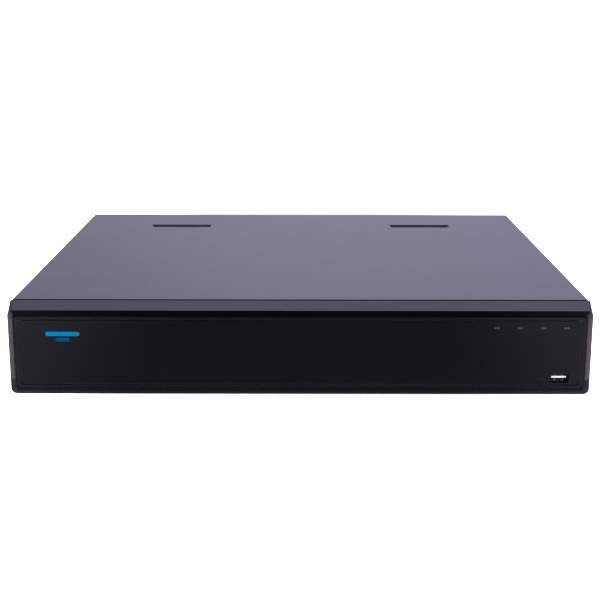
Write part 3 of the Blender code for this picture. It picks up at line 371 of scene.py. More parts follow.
def upright(u, v, along):
    """An outline's point in a plane that faces along Y."""
    return (u, along, v)


def flat(u, v, along):
    """An outline's point in a level plane."""
    return (u, v, along)


def plate(outline, low, high, place=upright):
    """An outline pushed along Y, or along another way that place gives."""

    def add(mesh):
        front = [mesh.verts.new(place(u, v, low)) for u, v in outline]
        back = [mesh.verts.new(place(u, v, high)) for u, v in outline]
        mesh.faces.new(front)
        mesh.faces.new(back)
        for i in range(len(outline)):
            j = (i + 1) % len(outline)
            mesh.faces.new((front[i], front[j], back[j], back[i]))

    return add


def band(outer, inner, low, high, place=upright):
    """The closed band between two outlines with the same number of points."""

    def add(mesh):
        loops = [
            [mesh.verts.new(place(u, v, along)) for u, v in outline]
            for outline, along in ((outer, low), (inner, low), (inner, high), (outer, high))
        ]
        for one, other in zip(loops, [*loops[1:], loops[0]]):
            for i in range(len(outer)):
                j = (i + 1) % len(outer)
                mesh.faces.new((one[i], one[j], other[j], other[i]))

    return add


def round_outline(x, z, half_x, half_z, radius, steps=4):
    """A rectangle with rounded corners."""
    corners = ((1, -1, -90), (1, 1, 0), (-1, 1, 90), (-1, -1, 180))
    points = []
    for side, up, first in corners:
        for i in range(steps + 1):
            angle = math.radians(first + 90 * i / steps)
            across = x + side * (half_x - radius) + radius * math.cos(angle)
            points.append((across, z + up * (half_z - radius) + radius * math.sin(angle)))
    return points


def ring_outline(x, z, radius, steps=24):
    """A circle."""
    angles = [math.tau * i / steps for i in range(steps)]
    return [(x + radius * math.cos(angle), z + radius * math.sin(angle)) for angle in angles]


def ring_outlines(x, z, outer, inner, steps=24):
    """The two outlines of a ring."""
    return ring_outline(x, z, outer, steps), ring_outline(x, z, inner, steps)


def frame_outlines(x, z, half_x, half_z, line, radius=0.001):
    """The two outlines of a thin rectangular line."""
    outer = round_outline(x, z, half_x, half_z, radius)
    return outer, round_outline(x, z, half_x - line, half_z - line, radius - line / 2)


def tile(x, y, wide, deep, low_z, high_z):
    """A block given by the middle of its plan, its size and its heights."""
    return block((x - wide / 2, y - deep / 2, low_z), (x + wide / 2, y + deep / 2, high_z))


def new_data(name, mesh):
    """Mesh data from a finished bmesh."""
    data = bpy.data.meshes.new(name)
    mesh.to_mesh(data)
    mesh.free()
    return data


def new_object(name, data):
    """An object in the scene's own collection."""
    made = bpy.data.objects.new(name, data)
    bpy.context.scene.collection.objects.link(made)
    return made


def piece(name, look, shapes, body="case", edge=PIECE_EDGE):
    """One visual piece made from shapes, riding on a body."""
    mesh = bmesh.new()
    for add in shapes:
        add(mesh)
    bmesh.ops.recalc_face_normals(mesh, faces=mesh.faces)
    data = new_data(name, mesh)
    data.shade_smooth()
    data.set_sharp_from_angle(angle=math.radians(35))
    data.materials.append(LOOKS[look])
    made = new_object(name, data)
    if edge:
        round_edges(made, edge)
    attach(made, body)
    return made


# Front details

INSERT_Y = -0.2036
PRINT_RISE = 0.00003
LIGHT_XS = (0.1475, 0.165, 0.1825, 0.2)
SYMBOL_Z = 0.0607
USB_X, USB_Z = 0.1964, 0.018


def print_on_insert(name, look, outlines=(), bands=()):
    """Flat print on the insert's face."""
    low, high = INSERT_Y - PRINT_RISE, INSERT_Y + 0.00005
    shapes = [plate(outline, low, high) for outline in outlines]
    shapes += [band(outer, inner, low, high) for outer, inner in bands]
    return piece(name, look, shapes, edge=0)


def front_print():
    """The two-tone mark, the symbols over the lights and the plug symbol beside the USB socket."""
    mark_x = -0.1785
    long_pill = round_outline(mark_x, 0.0525, 0.0128, 0.0016, 0.0016, 8)
    short_pill = round_outline(mark_x, 0.0481, 0.0052, 0.0014, 0.0014, 8)
    print_on_insert("mark_long", "mark_bright", [long_pill])
    print_on_insert("mark_short", "mark_dark", [short_pill])
    thin, reach, z = 0.00022, 0.0011, SYMBOL_Z
    power, drive, network, alarm = LIGHT_XS
    stem = round_outline(power, z + 0.0008, thin / 2, 0.0006, thin / 2, 2)
    rings = [ring_outlines(x, z, reach, reach - thin) for x in (power, drive)]
    print_on_insert("symbol_power", "faint", [stem], rings[:1])
    print_on_insert("symbol_drive", "faint", [ring_outline(drive, z, 0.0004, 12)], rings[1:])
    print_on_insert("symbol_network", "faint", network_symbol(network, z))
    outer, inner = [
        [(alarm - half, low), (alarm + half, low), (alarm, high)]
        for half, low, high in ((0.0013, z - 0.001, z + 0.0012), (0.0009, z - 0.00078, z + 0.0008))
    ]
    mark = round_outline(alarm, z - 0.0001, thin / 2, 0.0005, thin / 3, 1)
    print_on_insert("symbol_alarm", "faint", [mark], [(outer, inner)])
    x, z = USB_X - 0.014, USB_Z - 0.0004
    handle, tip, wire = (-0.0006, 0.0017, 0.001), (0.002, 0.0008, 0.0007), (-0.0032, 0.001, 0.00018)
    plug = [round_outline(x + shift, z, *halves, 0.0001, 2) for shift, *halves in (handle, tip, wire)]
    print_on_insert("symbol_plug", "ghost", plug)


def network_symbol(x, z):
    """Three linked boxes."""
    spots = ((-0.0009, -0.0007), (0.0009, -0.0007), (0, 0.0007))
    boxes = [round_outline(x + shift, z + rise, 0.0005, 0.0004, 0.0001, 1) for shift, rise in spots]
    across = round_outline(x, z, 0.0009, 0.0001, 0.00008, 1)
    upward = round_outline(x, z + 0.0002, 0.0001, 0.0003, 0.00008, 1)
    return [*boxes, across, upward]


def front_socket():
    """The front USB socket: a folded shell set back in its opening, near-black brown as painted shade of
    the socket's inside, springs, insulator and contacts.
    """
    x, z = USB_X, USB_Z
    front, back = INSERT_Y + 0.002, -0.1916
    outer = round_outline(x, z, 0.00645, 0.00275, 0.0005, 2)
    inner = round_outline(x, z, 0.00612, 0.00242, 0.0004, 2)
    shell = [band(outer, inner, front, back), plate(inner, back - 0.0004, back)]
    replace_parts(piece("socket_shell", "shell_painted_shade", shell, edge=0.00005), "front_usb_shell")
    springs = []
    for side in (-1, 1):
        for floor, way in ((z - 0.0024, 1), (z + 0.0024, -1)):
            tip = Vector((x + side * 0.003, front + 0.004, floor + way * 0.00055))
            half = Vector((0.0006, 0, 0))
            springs.append(rod(tip - half, tip + half, 0.00022, 8))
            low, high = sorted((floor, floor + way * 0.0004))
            springs.append(block((tip.x - 0.0005, front + 0.0012, low), (tip.x + 0.0005, tip.y, high)))
    piece("socket_springs", "old_gold", springs, edge=0)
    tongue_y = front + 0.001
    tongue = [
        block((x - 0.0057, tongue_y, z - 0.0002), (x + 0.0056, back - 0.0006, z + 0.0013)),
        block((x - 0.0058, back - 0.003, z - 0.0021), (x + 0.0058, back - 0.0005, z + 0.0021)),
    ]
    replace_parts(piece("socket_tongue", "white", tongue, edge=0.0001), "front_usb_tongue")
    contacts = [
        block((x + dx - 0.0005, tongue_y + 0.0008, z - 0.00025), (x + dx + 0.0005, back - 0.004, z))
        for dx in (-0.0035, -0.0011, 0.0011, 0.0035)
    ]
    piece("socket_contacts", "gold", contacts, edge=0)


def front_seam():
    """A near-black, dull strip in the seam between the bezel and the cover: painted shade of the gap."""
    low, high = (-0.2165, -0.18945, 0.0736), (0.2165, -0.18925, 0.0757)
    piece("seam_strip", "seam_shade", [block(low, high)], edge=0)


# Rear details

PANEL_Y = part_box("rear_panel")[1].y
JACKS = [(0.2 - 0.0156 * i, z) for z in (0.046, 0.026) for i in range(8)]
JACK_PEG_Y = 0.2035
AUDIO_X, AUDIO_ZS = 0.0705, (0.046, 0.026)
VGA = (0.043, 0.0235)
HDMI = (0.014, 0.0181)
STACK_X, STACK_ZS, NETWORK_Z = -0.01, (0.0191, 0.0266), 0.03775
TERMINAL = (-0.05, 0.0212)
TERMINAL_PINS = [TERMINAL[0] + 0.004 * (i - 3.5) for i in range(8)]
FANS = {"right": -0.098, "left": -0.142}
FAN_Z, FAN_HOLE = 0.032, 0.016
INLET = (-0.189, 0.022)
BLADES = ((-0.007, -0.002), (0.007, -0.002), (0.0, 0.002))
ROCKER = Vector((-0.189, 0.1872, 0.0485))
EARTH = (-0.1675, 0.058)


def dress_sockets():
    """Insulators, tongues, contacts and linings inside the sockets."""

    def in_peg(at, way):
        return at.y > 0.1945 and any(math.hypot(at.x - x, at.z - z) < 0.0026 for x, z in JACKS)

    def in_stack_tongue(at, way):
        in_plan = abs(at.x - STACK_X) < 0.0053 and 0.1785 < at.y < 0.1877
        return in_plan and any(-0.0001 < at.z - z < 0.0018 for z in STACK_ZS)

    def in_blade(at, way):
        return at.y > 0.174 and any(
            abs(at.x - INLET[0] - dx) < 0.0012 and abs(at.z - INLET[1] - dz) < 0.0021 for dx, dz in BLADES
        )

    def in_stem(at, way):
        inside = abs(at.z - TERMINAL[1]) < 0.0006
        return inside and any(abs(at.x - pin) < 0.0006 for pin in TERMINAL_PINS)

    def in_network(at, way):
        inside = abs(at.x - STACK_X) < 0.006 and -0.0051 < at.z - NETWORK_Z < 0.0048
        return inside and 0.1765 < at.y < 0.1888

    def in_vga(at, way):
        return way.y > 0.5 and abs(at.x - VGA[0]) < 0.0088 and 0.1925 < at.y < 0.1934

    def in_hdmi(at, way):
        in_opening = abs(at.x - HDMI[0]) < 0.0051 and 0.1785 < at.y < 0.1888
        return in_opening and -0.0001 < at.z - HDMI[1] < 0.0011

    for node, look, chosen in (
        ("video_sockets_right", "white", in_peg),
        ("video_sockets_middle", "white", in_peg),
        ("rear_usb_sockets", "white", in_stack_tongue),
        ("mains_inlet", "nickel", in_blade),
        ("terminal_header", "nickel", in_stem),
        ("network_socket", "black", in_network),
        ("vga_socket", "blue", in_vga),
        ("hdmi_socket", "black", in_hdmi),
        ("indicator_board", "white", lambda at, way: at.y < -0.19135),
    ):
        dress_faces(node, ((look, chosen),))


UP = (0, 0, 1)


def screw_heads(name, places, radius, body="case", look="nickel", way=(0, 1, 0)):
    """Domed heads with cross recesses, each shown by a raised black cross as painted shade, standing on a
    surface that faces the given way.
    """
    way = Vector(way)
    across = Vector((1, 0, 0))
    other = way.cross(across)
    heads, cross_shades = [], []
    for place in places:
        foot = Vector(place)
        tall = 0.55 * radius
        heads.append(rod(foot - 0.0004 * way, foot + 0.5 * tall * way, radius, 16))
        heads.append(rod(foot + 0.5 * tall * way, foot + tall * way, radius, 16, 0.72 * radius))
        # Black cross blocks on the heads: painted shade of the cross recesses.
        for one, two in ((across, other), (other, across)):
            corner = 0.52 * radius * one + 0.1 * radius * two
            low, high = foot + 0.6 * tall * way - corner, foot + (tall + 0.00003) * way + corner
            points = list(zip(low, high))
            cross_shades.append(block([min(pair) for pair in points], [max(pair) for pair in points]))
    piece(name, look, heads, body)
    piece(f"{name}_recess_shades", "black", cross_shades, body, edge=0)


def numeral(number, x, z):
    """A printed number on the rear panel."""
    name = f"numeral_{number}"
    curve = bpy.data.curves.new(name, "FONT")
    curve.body = str(number)
    curve.size = 0.0031
    curve.extrude = PRINT_RISE
    curve.align_x, curve.align_y = "CENTER", "CENTER"
    curve.resolution_u = 3
    curve.materials.append(LOOKS["print"])
    made = new_object(name, curve)
    made.matrix_world = Matrix(((-1, 0, 0, x), (0, 0, 1, PANEL_Y), (0, 1, 0, z), (0, 0, 0, 1)))
    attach(made, "case")


def video_trim():
    """Centre contacts, a black disc on each as painted shade of its hollow end, washers and numbers of
    the sixteen video sockets.
    """
    contacts, hole_shades, washers = [], [], []
    for number, (x, z) in enumerate(JACKS, 1):
        contacts.append(rod((x, JACK_PEG_Y - 0.001, z), (x, JACK_PEG_Y + 0.0005, z), 0.0009, 12))
        # Black disc on each centre contact: painted shade of its hollow.
        hole_shades.append(rod((x, JACK_PEG_Y, z), (x, JACK_PEG_Y + 0.00053, z), 0.0005, 10))
        washers.append(band(*ring_outlines(x, z, 0.0077, 0.0064), PANEL_Y, PANEL_Y + 0.0007))
        numeral(number, x, z + 0.0097)
    piece("jack_contacts", "gold", contacts, edge=0)
    piece("jack_contact_hole_shades", "black", hole_shades, edge=0)
    piece("jack_washers", "nickel", washers)


def audio_trim():
    """Metal sleeves, coloured rings and insulators of the two phono sockets."""
    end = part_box("audio_sockets")[1].y
    for z, colour, way in zip(AUDIO_ZS, ("red", "white"), ("upper", "lower")):
        radii = (0.0059, 0.0043, 0.0041, 0.0034, 0.0019)
        widest, outer, bore, middle, inner = [ring_outline(AUDIO_X, z, radius) for radius in radii]
        sleeve = [
            band(outer, bore, PANEL_Y + 0.0012, end + 0.0001),
            band(outer, middle, end - 0.0001, end + 0.0002),
        ]
        piece(f"audio_sleeve_{way}", "nickel", sleeve)
        rings = [
            band(middle, inner, end - 0.0001, end + 0.0001),
            band(widest, outer, PANEL_Y, PANEL_Y + 0.0012),
        ]
        piece(f"audio_ring_{way}", colour, rings)


def socket_trim():
    """Contacts of the VGA, HDMI, USB and network sockets, and the network lights."""
    x, z = VGA
    face = 0.1931
    # Black rods on the VGA face: painted shade of its contact openings.
    hole_shades = []
    for row in (1, 0, -1):
        for dx in spaced(5, 0.0023):
            across, up = x + dx + 0.0006 * row, z + 0.002 * row
            hole_shades.append(rod((across, face - 0.0002, up), (across, face + 0.00005, up), 0.00048, 8))
    piece("vga_hole_shades", "black", hole_shades, edge=0)
    x, z = HDMI
    leaves = [tile(x + dx, 0.1842, 0.00044, 0.0084, z + 0.001, z + 0.00108) for dx in spaced(9, 0.001)]
    for centre in STACK_ZS:
        for dx in spaced(4, 0.0024):
            leaves.append(tile(STACK_X + dx, 0.1835, 0.001, 0.007, centre - 0.0001, centre + 0.0002))
    piece("socket_leaves", "gold", leaves, edge=0)
    wires = []
    for across in [STACK_X + dx for dx in spaced(8, 0.00102)]:
        top, root = (across, 0.1878, NETWORK_Z + 0.0044), (across, 0.18, NETWORK_Z + 0.001)
        wires.append(rod(top, root, 0.0002, 6))
    piece("network_wires", "gold", wires, edge=0)
    for side, look in ((-1, "amber"), (1, "lime")):
        low_x, high_x = sorted((STACK_X + side * 0.0039, STACK_X + side * 0.007))
        lens = [block((low_x, 0.1886, NETWORK_Z - 0.0061), (high_x, 0.1892, NETWORK_Z - 0.004))]
        piece(f"network_light_{look}", look, lens)
    rim = 0.0012
    flanges = []
    for x, z, half_x, half_z in ((*VGA, 0.015, 0.0058), (STACK_X, 0.0297, 0.0079, 0.0153)):
        outlines = frame_outlines(x, z, half_x + rim, half_z + rim, rim)
        flanges.append(band(*outlines, PANEL_Y, PANEL_Y + 0.0004))
    piece("socket_frames", "nickel", flanges, edge=0.00005)


def terminal_trim():
    """Screws and clamps of the plug-in terminal, and its ribs."""
    z = TERMINAL[1]
    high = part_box("terminal_plug")[1]
    screw_y, top, back = 0.1942, high.z, high.y
    heads, slots, clamps = [], [], []
    for pin in TERMINAL_PINS:
        heads.append(rod((pin, screw_y, top - 0.0016), (pin, screw_y, top - 0.0005), 0.00125, 12))
        # Black bars in the screw heads: painted shade of their slots.
        slots.append(tile(pin, screw_y, 0.0021, 0.0004, top - 0.0006, top - 0.00047))
        clamps.append(tile(pin, back - 0.0056, 0.0024, 0.0008, z - 0.0023, z + 0.0005))
    piece("terminal_screws", "nickel", heads, "alarm_plug")
    piece("terminal_screw_slot_shades", "black", slots, "alarm_plug", edge=0)
    piece("terminal_clamps", "nickel", clamps, "alarm_plug")
    ribs = [
        tile((one + two) / 2, back - 0.0016, 0.0005, 0.003, top - 0.0002, top + 0.0003)
        for one, two in zip(TERMINAL_PINS, TERMINAL_PINS[1:])
    ]
    piece("terminal_ribs", "green", ribs, "alarm_plug")


def fan_trim():
    """Screws that hold the fans, and the round labels on their hubs."""
    corners = [(across, up) for across in (-FAN_HOLE, FAN_HOLE) for up in (-FAN_HOLE, FAN_HOLE)]
    places = [(x + across, PANEL_Y, FAN_Z + up) for x in FANS.values() for across, up in corners]
    screw_heads("fan_screws", places, 0.0027, look="black")
    for side, x in FANS.items():
        hub_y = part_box(f"fan_rotor_{side}")[0].y
        label = [plate(ring_outline(x, FAN_Z, 0.0088, 32), hub_y - 0.0001, hub_y + 0.0001)]
        piece(f"fan_label_{side}", "label", label, f"rotor_{side}", edge=0)
        circles = [ring_outlines(x, FAN_Z, radius, radius - 0.0002, 32) for radius in (0.008, 0.0034)]
        lines = [band(*circle, hub_y - 0.00013, hub_y) for circle in circles]
        piece(f"fan_label_lines_{side}", "black", lines, f"rotor_{side}", edge=0)


def on_rocker(u, v, lift):
    """A point on the rocker's two-sloped face, which rests tilted to its off stop."""
    rest_tilt, middle, slope = math.radians(-10), 0.0022, 0.002 / 0.0079
    y = middle + slope * abs(v) + lift
    turned_y = y * math.cos(rest_tilt) - v * math.sin(rest_tilt)
    turned_z = y * math.sin(rest_tilt) + v * math.cos(rest_tilt)
    return (ROCKER.x + u, ROCKER.y + turned_y, ROCKER.z + turned_z)


def mains_trim():
    """The on and off marks of the rocker, and the raised rim of the inlet."""
    mark_z, limits = 0.0045, (-0.0001, 0.00004, on_rocker)
    bar = plate(round_outline(0, mark_z, 0.0003, 0.0015, 0.0001), *limits)
    ring = band(*ring_outlines(0, -mark_z, 0.0016, 0.0011), *limits)
    piece("rocker_marks", "print", [bar, ring], "mains_rocker", edge=0)
    x, z = INLET
    flange_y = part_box("mains_inlet")[1].y
    corners = ((0.0122, -0.0082), (0.0122, 0.0032), (0.007, 0.0084))
    outer, inner = [], []
    for outline, scale in ((outer, 1.07), (inner, 1.0)):
        outline += [(x + scale * across, z + scale * up) for across, up in corners]
        outline += [(x - scale * across, z + scale * up) for across, up in reversed(corners)]
    rim = band(outer, inner, flange_y - 0.0002, flange_y + 0.0006)
    piece("inlet_rim", "black", [rim])


def rear_print():
    """White lines and generic symbols on the rear panel, and a blank label."""
    line = 0.00025
    low, high = PANEL_Y - 0.00005, PANEL_Y + PRINT_RISE
    x, z = EARTH
    earth_x = x + 0.0085
    stroke = (line / 2, line / 3, 1)
    frames = [
        frame_outlines(0.1454, 0.0385, 0.0645, 0.0215, line),
        frame_outlines(AUDIO_X, 0.0385, 0.0085, 0.0215, line),
        frame_outlines(TERMINAL[0], 0.0213, 0.0205, 0.009, line),
        frame_outlines(VGA[0], 0.0345, 0.0022, 0.0015, line, 0.0004),
        frame_outlines(HDMI[0], 0.025, 0.0018, 0.0012, line, 0.0004),
    ]
    marks = [
        round_outline(VGA[0], 0.0324, 0.0012, *stroke),
        round_outline(HDMI[0], 0.0232, 0.001, *stroke),
        [(AUDIO_X - 0.001, 0.0556), (AUDIO_X + 0.001, 0.0556), (AUDIO_X, 0.0574)],
        [(AUDIO_X - 0.001, 0.0368), (AUDIO_X, 0.035), (AUDIO_X + 0.001, 0.0368)],
        round_outline(earth_x, z + 0.0012, line / 2, 0.0014, line / 3, 1),
        *[round_outline(earth_x, z - 0.0009 * i, 0.002 - 0.0006 * i, *stroke) for i in range(3)],
        *[round_outline(pin, 0.0316, line / 2, 0.0007, line / 3, 1) for pin in TERMINAL_PINS],
    ]
    shapes = [plate(outline, low, high) for outline in marks + network_symbol(STACK_X, 0.0476)]
    shapes += [band(outer, inner, low, high) for outer, inner in frames]
    piece("rear_lines", "print", shapes, edge=0)
    label = [plate(round_outline(-0.12, 0.0583, 0.02, 0.0042, 0.0008), low, PANEL_Y + 0.00012)]
    piece("rear_label", "label", label, edge=0)


# Inside

BOARD_TOP = 0.0146
# Middle and size of each chip. The decoders are added here, and the others are part of the CAD board
DECODERS = [(x, 0.15, 0.012, 0.012) for x in (0.1, 0.13, 0.16, 0.19)]
CHIPS = [
    (0.14, 0.08, 0.013, 0.011),
    (0.14, 0.1, 0.013, 0.011),
    (0.04, 0.09, 0.018, 0.018),
    (-0.01, 0.12, 0.012, 0.012),
    *DECODERS,
]
BATTERY = (0.02, 0.14)
MAGNETICS = (-0.01, 0.15)
COILS = ((-0.021, 0.062), (-0.007, 0.062), (0.165, 0.06))
CANS = [(x, y) for x in (-0.052, -0.038) for y in (0.062, 0.078)]
CANS += [(-0.05, 0.104), (-0.05, 0.124), (0.06, 0.132), (0.084, 0.132), (0.118, 0.132), (0.15, 0.132)]
CANS += [(0.178, 0.132), (0.185, 0.09), (0.185, 0.11)]
# Middle and half size of the main board's other places that small parts keep clear of
TAKEN = (
    (0.09, 0.095, 0.024, 0.024),  # heatsink
    (*BATTERY, 0.0135, 0.0135),
    (-0.044, 0.0445, 0.03, 0.006),  # data headers
    (0.184, 0.0445, 0.012, 0.007),  # header of the front lead
    (-0.066, 0.115, 0.01, 0.03),  # headers of the supply and the fans
    (*MAGNETICS, 0.01, 0.008),
    (-0.014, 0.062, 0.014, 0.006),  # the two coils on the left
    (*COILS[2], 0.006, 0.006),
)
STORE_CAN = Vector((-0.19, 0.108))


def dress_boards():
    """Parts that share a board's solid get the finish that each of them has."""

    def raised(at):
        return at.z > BOARD_TOP + 0.0001

    def in_store_can(at, way):
        return raised(at) and math.hypot(at.x - STORE_CAN.x, at.y - STORE_CAN.y) < 0.0123

    def in_ferrite(at, way):
        return at.z > 0.0385 or abs(at.y - 0.077) > 0.0115 or 0.0165 < abs(at.x + 0.159) < 0.0175

    dress_faces(
        "main_board",
        (
            ("black", lambda at, way: raised(at)),
            ("white", lambda at, way: raised(at) and (at.y < 0.05 or at.x < -0.06)),
        ),
    )
    dress_faces(
        "power_supply_board",
        (
            ("white", lambda at, way: raised(at)),
            ("can", in_store_can),
            ("alloy", lambda at, way: in_store_can(at, way) and way.z > 0.5),
        ),
    )
    dress_faces("power_transformer", (("black", in_ferrite),))
    for node in NODES:
        if node.startswith("hard_drive"):
            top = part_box(node)[1].z
            dress_faces(node, (("lid", lambda at, way, top=top: way.z > 0.5 and at.z > top - 0.0003),))


def cans(name, places, radius, base, tall, look="can"):
    """Upright capacitors: a sleeve with a rolled groove, and a metal top."""
    sleeves, tops = [], []
    for x, y in places:
        neck = base + 0.0014
        sleeves.append(rod((x, y, base), (x, y, neck - 0.0003), radius, 20))
        sleeves.append(rod((x, y, neck - 0.0004), (x, y, neck + 0.0004), 0.93 * radius, 20))
        sleeves.append(rod((x, y, neck + 0.0003), (x, y, base + tall), radius, 20))
        tops.append(rod((x, y, base + tall - 0.0002), (x, y, base + tall + 0.00008), 0.84 * radius, 20))
    piece(name, look, sleeves)
    piece(f"{name}_tops", "alloy", tops)


def chip_pins():
    """A row of pins along each of a chip's four sides."""
    pitch, thin, long, beyond = 0.0009, 0.00036, 0.0012, 0.0005
    heights = (BOARD_TOP, BOARD_TOP + 0.0003)
    pins = []
    for x, y, wide, deep in CHIPS:
        for side in (-1, 1):
            for shift in spaced(int(wide / pitch) - 1, pitch):
                pins.append(tile(x + shift, y + side * (deep / 2 + beyond), thin, long, *heights))
            for shift in spaced(int(deep / pitch) - 1, pitch):
                pins.append(tile(x + side * (wide / 2 + beyond), y + shift, long, thin, *heights))
    piece("chip_pins", "nickel", pins, edge=0)


def scattered_parts():
    """Places of small resistors and capacitors on the main board, clear of its larger parts."""
    random.seed(11)
    taken = [(x, y, wide / 2 + 0.003, deep / 2 + 0.003) for x, y, wide, deep in CHIPS]
    taken += [(x, y, 0.0055, 0.0055) for x, y in CANS]
    taken += TAKEN
    places = []
    while len(places) < 190:
        x, y, turned = random.uniform(-0.066, 0.206), random.uniform(0.042, 0.158), random.random() < 0.5
        if any(abs(x - at_x) < half_x and abs(y - at_y) < half_y for at_x, at_y, half_x, half_y in taken):
            continue
        places.append((x, y, turned))
        taken.append((x, y, 0.0022, 0.0022))
    return places


def main_board_parts():
    """Capacitors, chips, coils, small parts, traces and outlines on the main board."""
    base = BOARD_TOP
    cans("board_cans", CANS, 0.0034, base, 0.0088)
    decoders = [tile(*plan, base + 0.0001, base + 0.0014) for plan in DECODERS]
    magnetics = [tile(*MAGNETICS, 0.014, 0.011, base, base + 0.0055)]
    piece("board_chips", "black", decoders + magnetics)
    chip_pins()
    coils = [tile(*place, 0.008, 0.008, base, base + 0.0042) for place in COILS]
    piece("board_coils", "can", coils, edge=0.0006)
    cases = [round_outline(x, 0.062, 0.0055, 0.0019, 0.0018) for x in (0.062, 0.118)]
    crystals = [plate(case, base, base + 0.0036, flat) for case in cases]
    piece("board_crystals", "nickel", crystals, edge=0.0003)
    bodies, ends = [], []
    for x, y, turned in scattered_parts():
        wide, deep = (0.0008, 0.0011) if turned else (0.0011, 0.0008)
        bodies.append(tile(x, y, wide, deep, base, base + 0.0005))
        for side in (-1, 1):
            at_x, at_y = (x, y + side * 0.0007) if turned else (x + side * 0.0007, y)
            end_wide, end_deep = (0.00084, 0.0004) if turned else (0.0004, 0.00084)
            ends.append(tile(at_x, at_y, end_wide, end_deep, base, base + 0.00053))
    half = len(bodies) // 2
    piece("board_resistors", "black", bodies[:half], edge=0)
    piece("board_chip_capacitors", "tan", bodies[half:], edge=0)
    piece("board_part_ends", "nickel", ends, edge=0)
    low, high, thin, pitch = base - 0.0001, base + PRINT_RISE, 0.0003, 0.0011
    traces = [tile(0.1225, 0.09 + dy, 0.021, thin, low, high) for dy in spaced(24, pitch)]
    traces += [tile(0.09 + dx, 0.1305, thin, 0.027, low, high) for dx in spaced(24, pitch)]
    for x, *_ in DECODERS:
        traces += [tile(x + dx, 0.159, thin, 0.006, low, high) for dx in spaced(8, 0.0012)]
    traces += [tile(0.0585, 0.09 + dy, 0.019, thin, low, high) for dy in spaced(12, pitch)]
    piece("board_traces", "trace", traces, edge=0)
    line, silk = 0.00018, []
    for x, y, wide, deep in CHIPS:
        silk.append(frame_outlines(x, y, wide / 2 + 0.0018, deep / 2 + 0.0018, line, 0.0005))
    silk += [ring_outlines(*place, 0.0041, 0.0041 - line) for place in CANS]
    silk.append(ring_outlines(*BATTERY, 0.0124, 0.0124 - line, 40))
    outlines = [band(*pair, low, high, flat) for pair in silk]
    piece("board_print", "print", outlines, edge=0)
    screws = [(-0.064, 0.054, base), (0.204, 0.05, base), (0.06, 0.15, base)]
    screw_heads("board_screws", screws, 0.0028, way=UP)


def supply_board_parts():
    """The mains side's choke, fuse, capacitors and rectifier, and the transistors on the heatsink."""
    base = BOARD_TOP
    places = [(-0.192, 0.022), (-0.18, 0.022), (-0.198, 0.042), (-0.184, 0.042)]
    cans("supply_cans", places, 0.005, base, 0.018)
    store_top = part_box("power_supply_board")[1].z
    circles = ring_outlines(*STORE_CAN, 0.01215, 0.0104, 32)
    rim = band(*circles, store_top - 0.0006, store_top + 0.0002, flat)
    piece("store_can_rim", "can", [rim])
    centre = Vector((-0.15, 0.127, 0))
    inner, outer, low, high = 0.004, 0.0084, base + 0.001, base + 0.008
    core = band(*ring_outlines(*centre.xy, outer, inner), low, high, flat)
    piece("choke_core", "lime", [core], edge=0.0004)
    wires, wire, turns = [], 0.00045, 26
    for i in range(turns):
        angle = math.tau * i / turns
        out = Vector((math.cos(angle), math.sin(angle), 0))
        far, near = centre + (outer + wire) * out, centre + (inner - wire) * out
        top, bottom = Vector((0, 0, high + wire)), Vector((0, 0, low - wire))
        wires += [rod(far + bottom, far + top, wire, 8), rod(far + top, near + top, wire, 8)]
        wires.append(rod(near + top, near + bottom, wire, 8))
    piece("choke_wire", "copper", wires, edge=0)
    fuse_x, fuse_z, fuse_ys = -0.168, base + 0.005, (0.112, 0.132)
    front, back = [(fuse_x, y, fuse_z) for y in fuse_ys]
    piece("fuse_glass", "clear", [rod(front, back, 0.0025, 16)])
    caps = [rod((fuse_x, y - 0.0025, fuse_z), (fuse_x, y + 0.0025, fuse_z), 0.0028, 16) for y in fuse_ys]
    caps += [tile(fuse_x, y, 0.005, 0.002, base, fuse_z) for y in fuse_ys]
    piece("fuse_ends", "nickel", caps)
    film = [tile(-0.2, 0.074, 0.017, 0.015, base, base + 0.015)]
    piece("film_capacitor", "yellow", film, edge=0.0008)
    y, z, half = 0.106, base + 0.0058, 0.0014
    discs = [rod((x - half, y, z), (x + half, y, z), 0.0046, 20) for x in (-0.15, -0.158)]
    piece("disc_capacitors", "ceramic", discs, edge=0.0006)
    rectifier = tile(-0.196, 0.088, 0.02, 0.0036, base + 0.001, base + 0.016)
    x, ys = -0.1335, (0.042, 0.07)
    transistors = [tile(x, y, 0.0044, 0.01, base + 0.0142, base + 0.029) for y in ys]
    piece("power_devices", "black", [rectifier, *transistors], edge=0.0004)
    legs = [tile(x, y + dy, 0.0006, 0.001, base, base + 0.0145) for y in ys for dy in spaced(3, 0.0025)]
    legs += [tile(-0.196 + dx, 0.088, 0.001, 0.0006, base, base + 0.0012) for dx in spaced(4, 0.005)]
    piece("power_device_legs", "nickel", legs, edge=0)
    screws = [(-0.204, 0.018, base), (-0.204, 0.134, base), (-0.128, 0.134, base)]
    screw_heads("supply_screws", screws, 0.0028, way=UP)


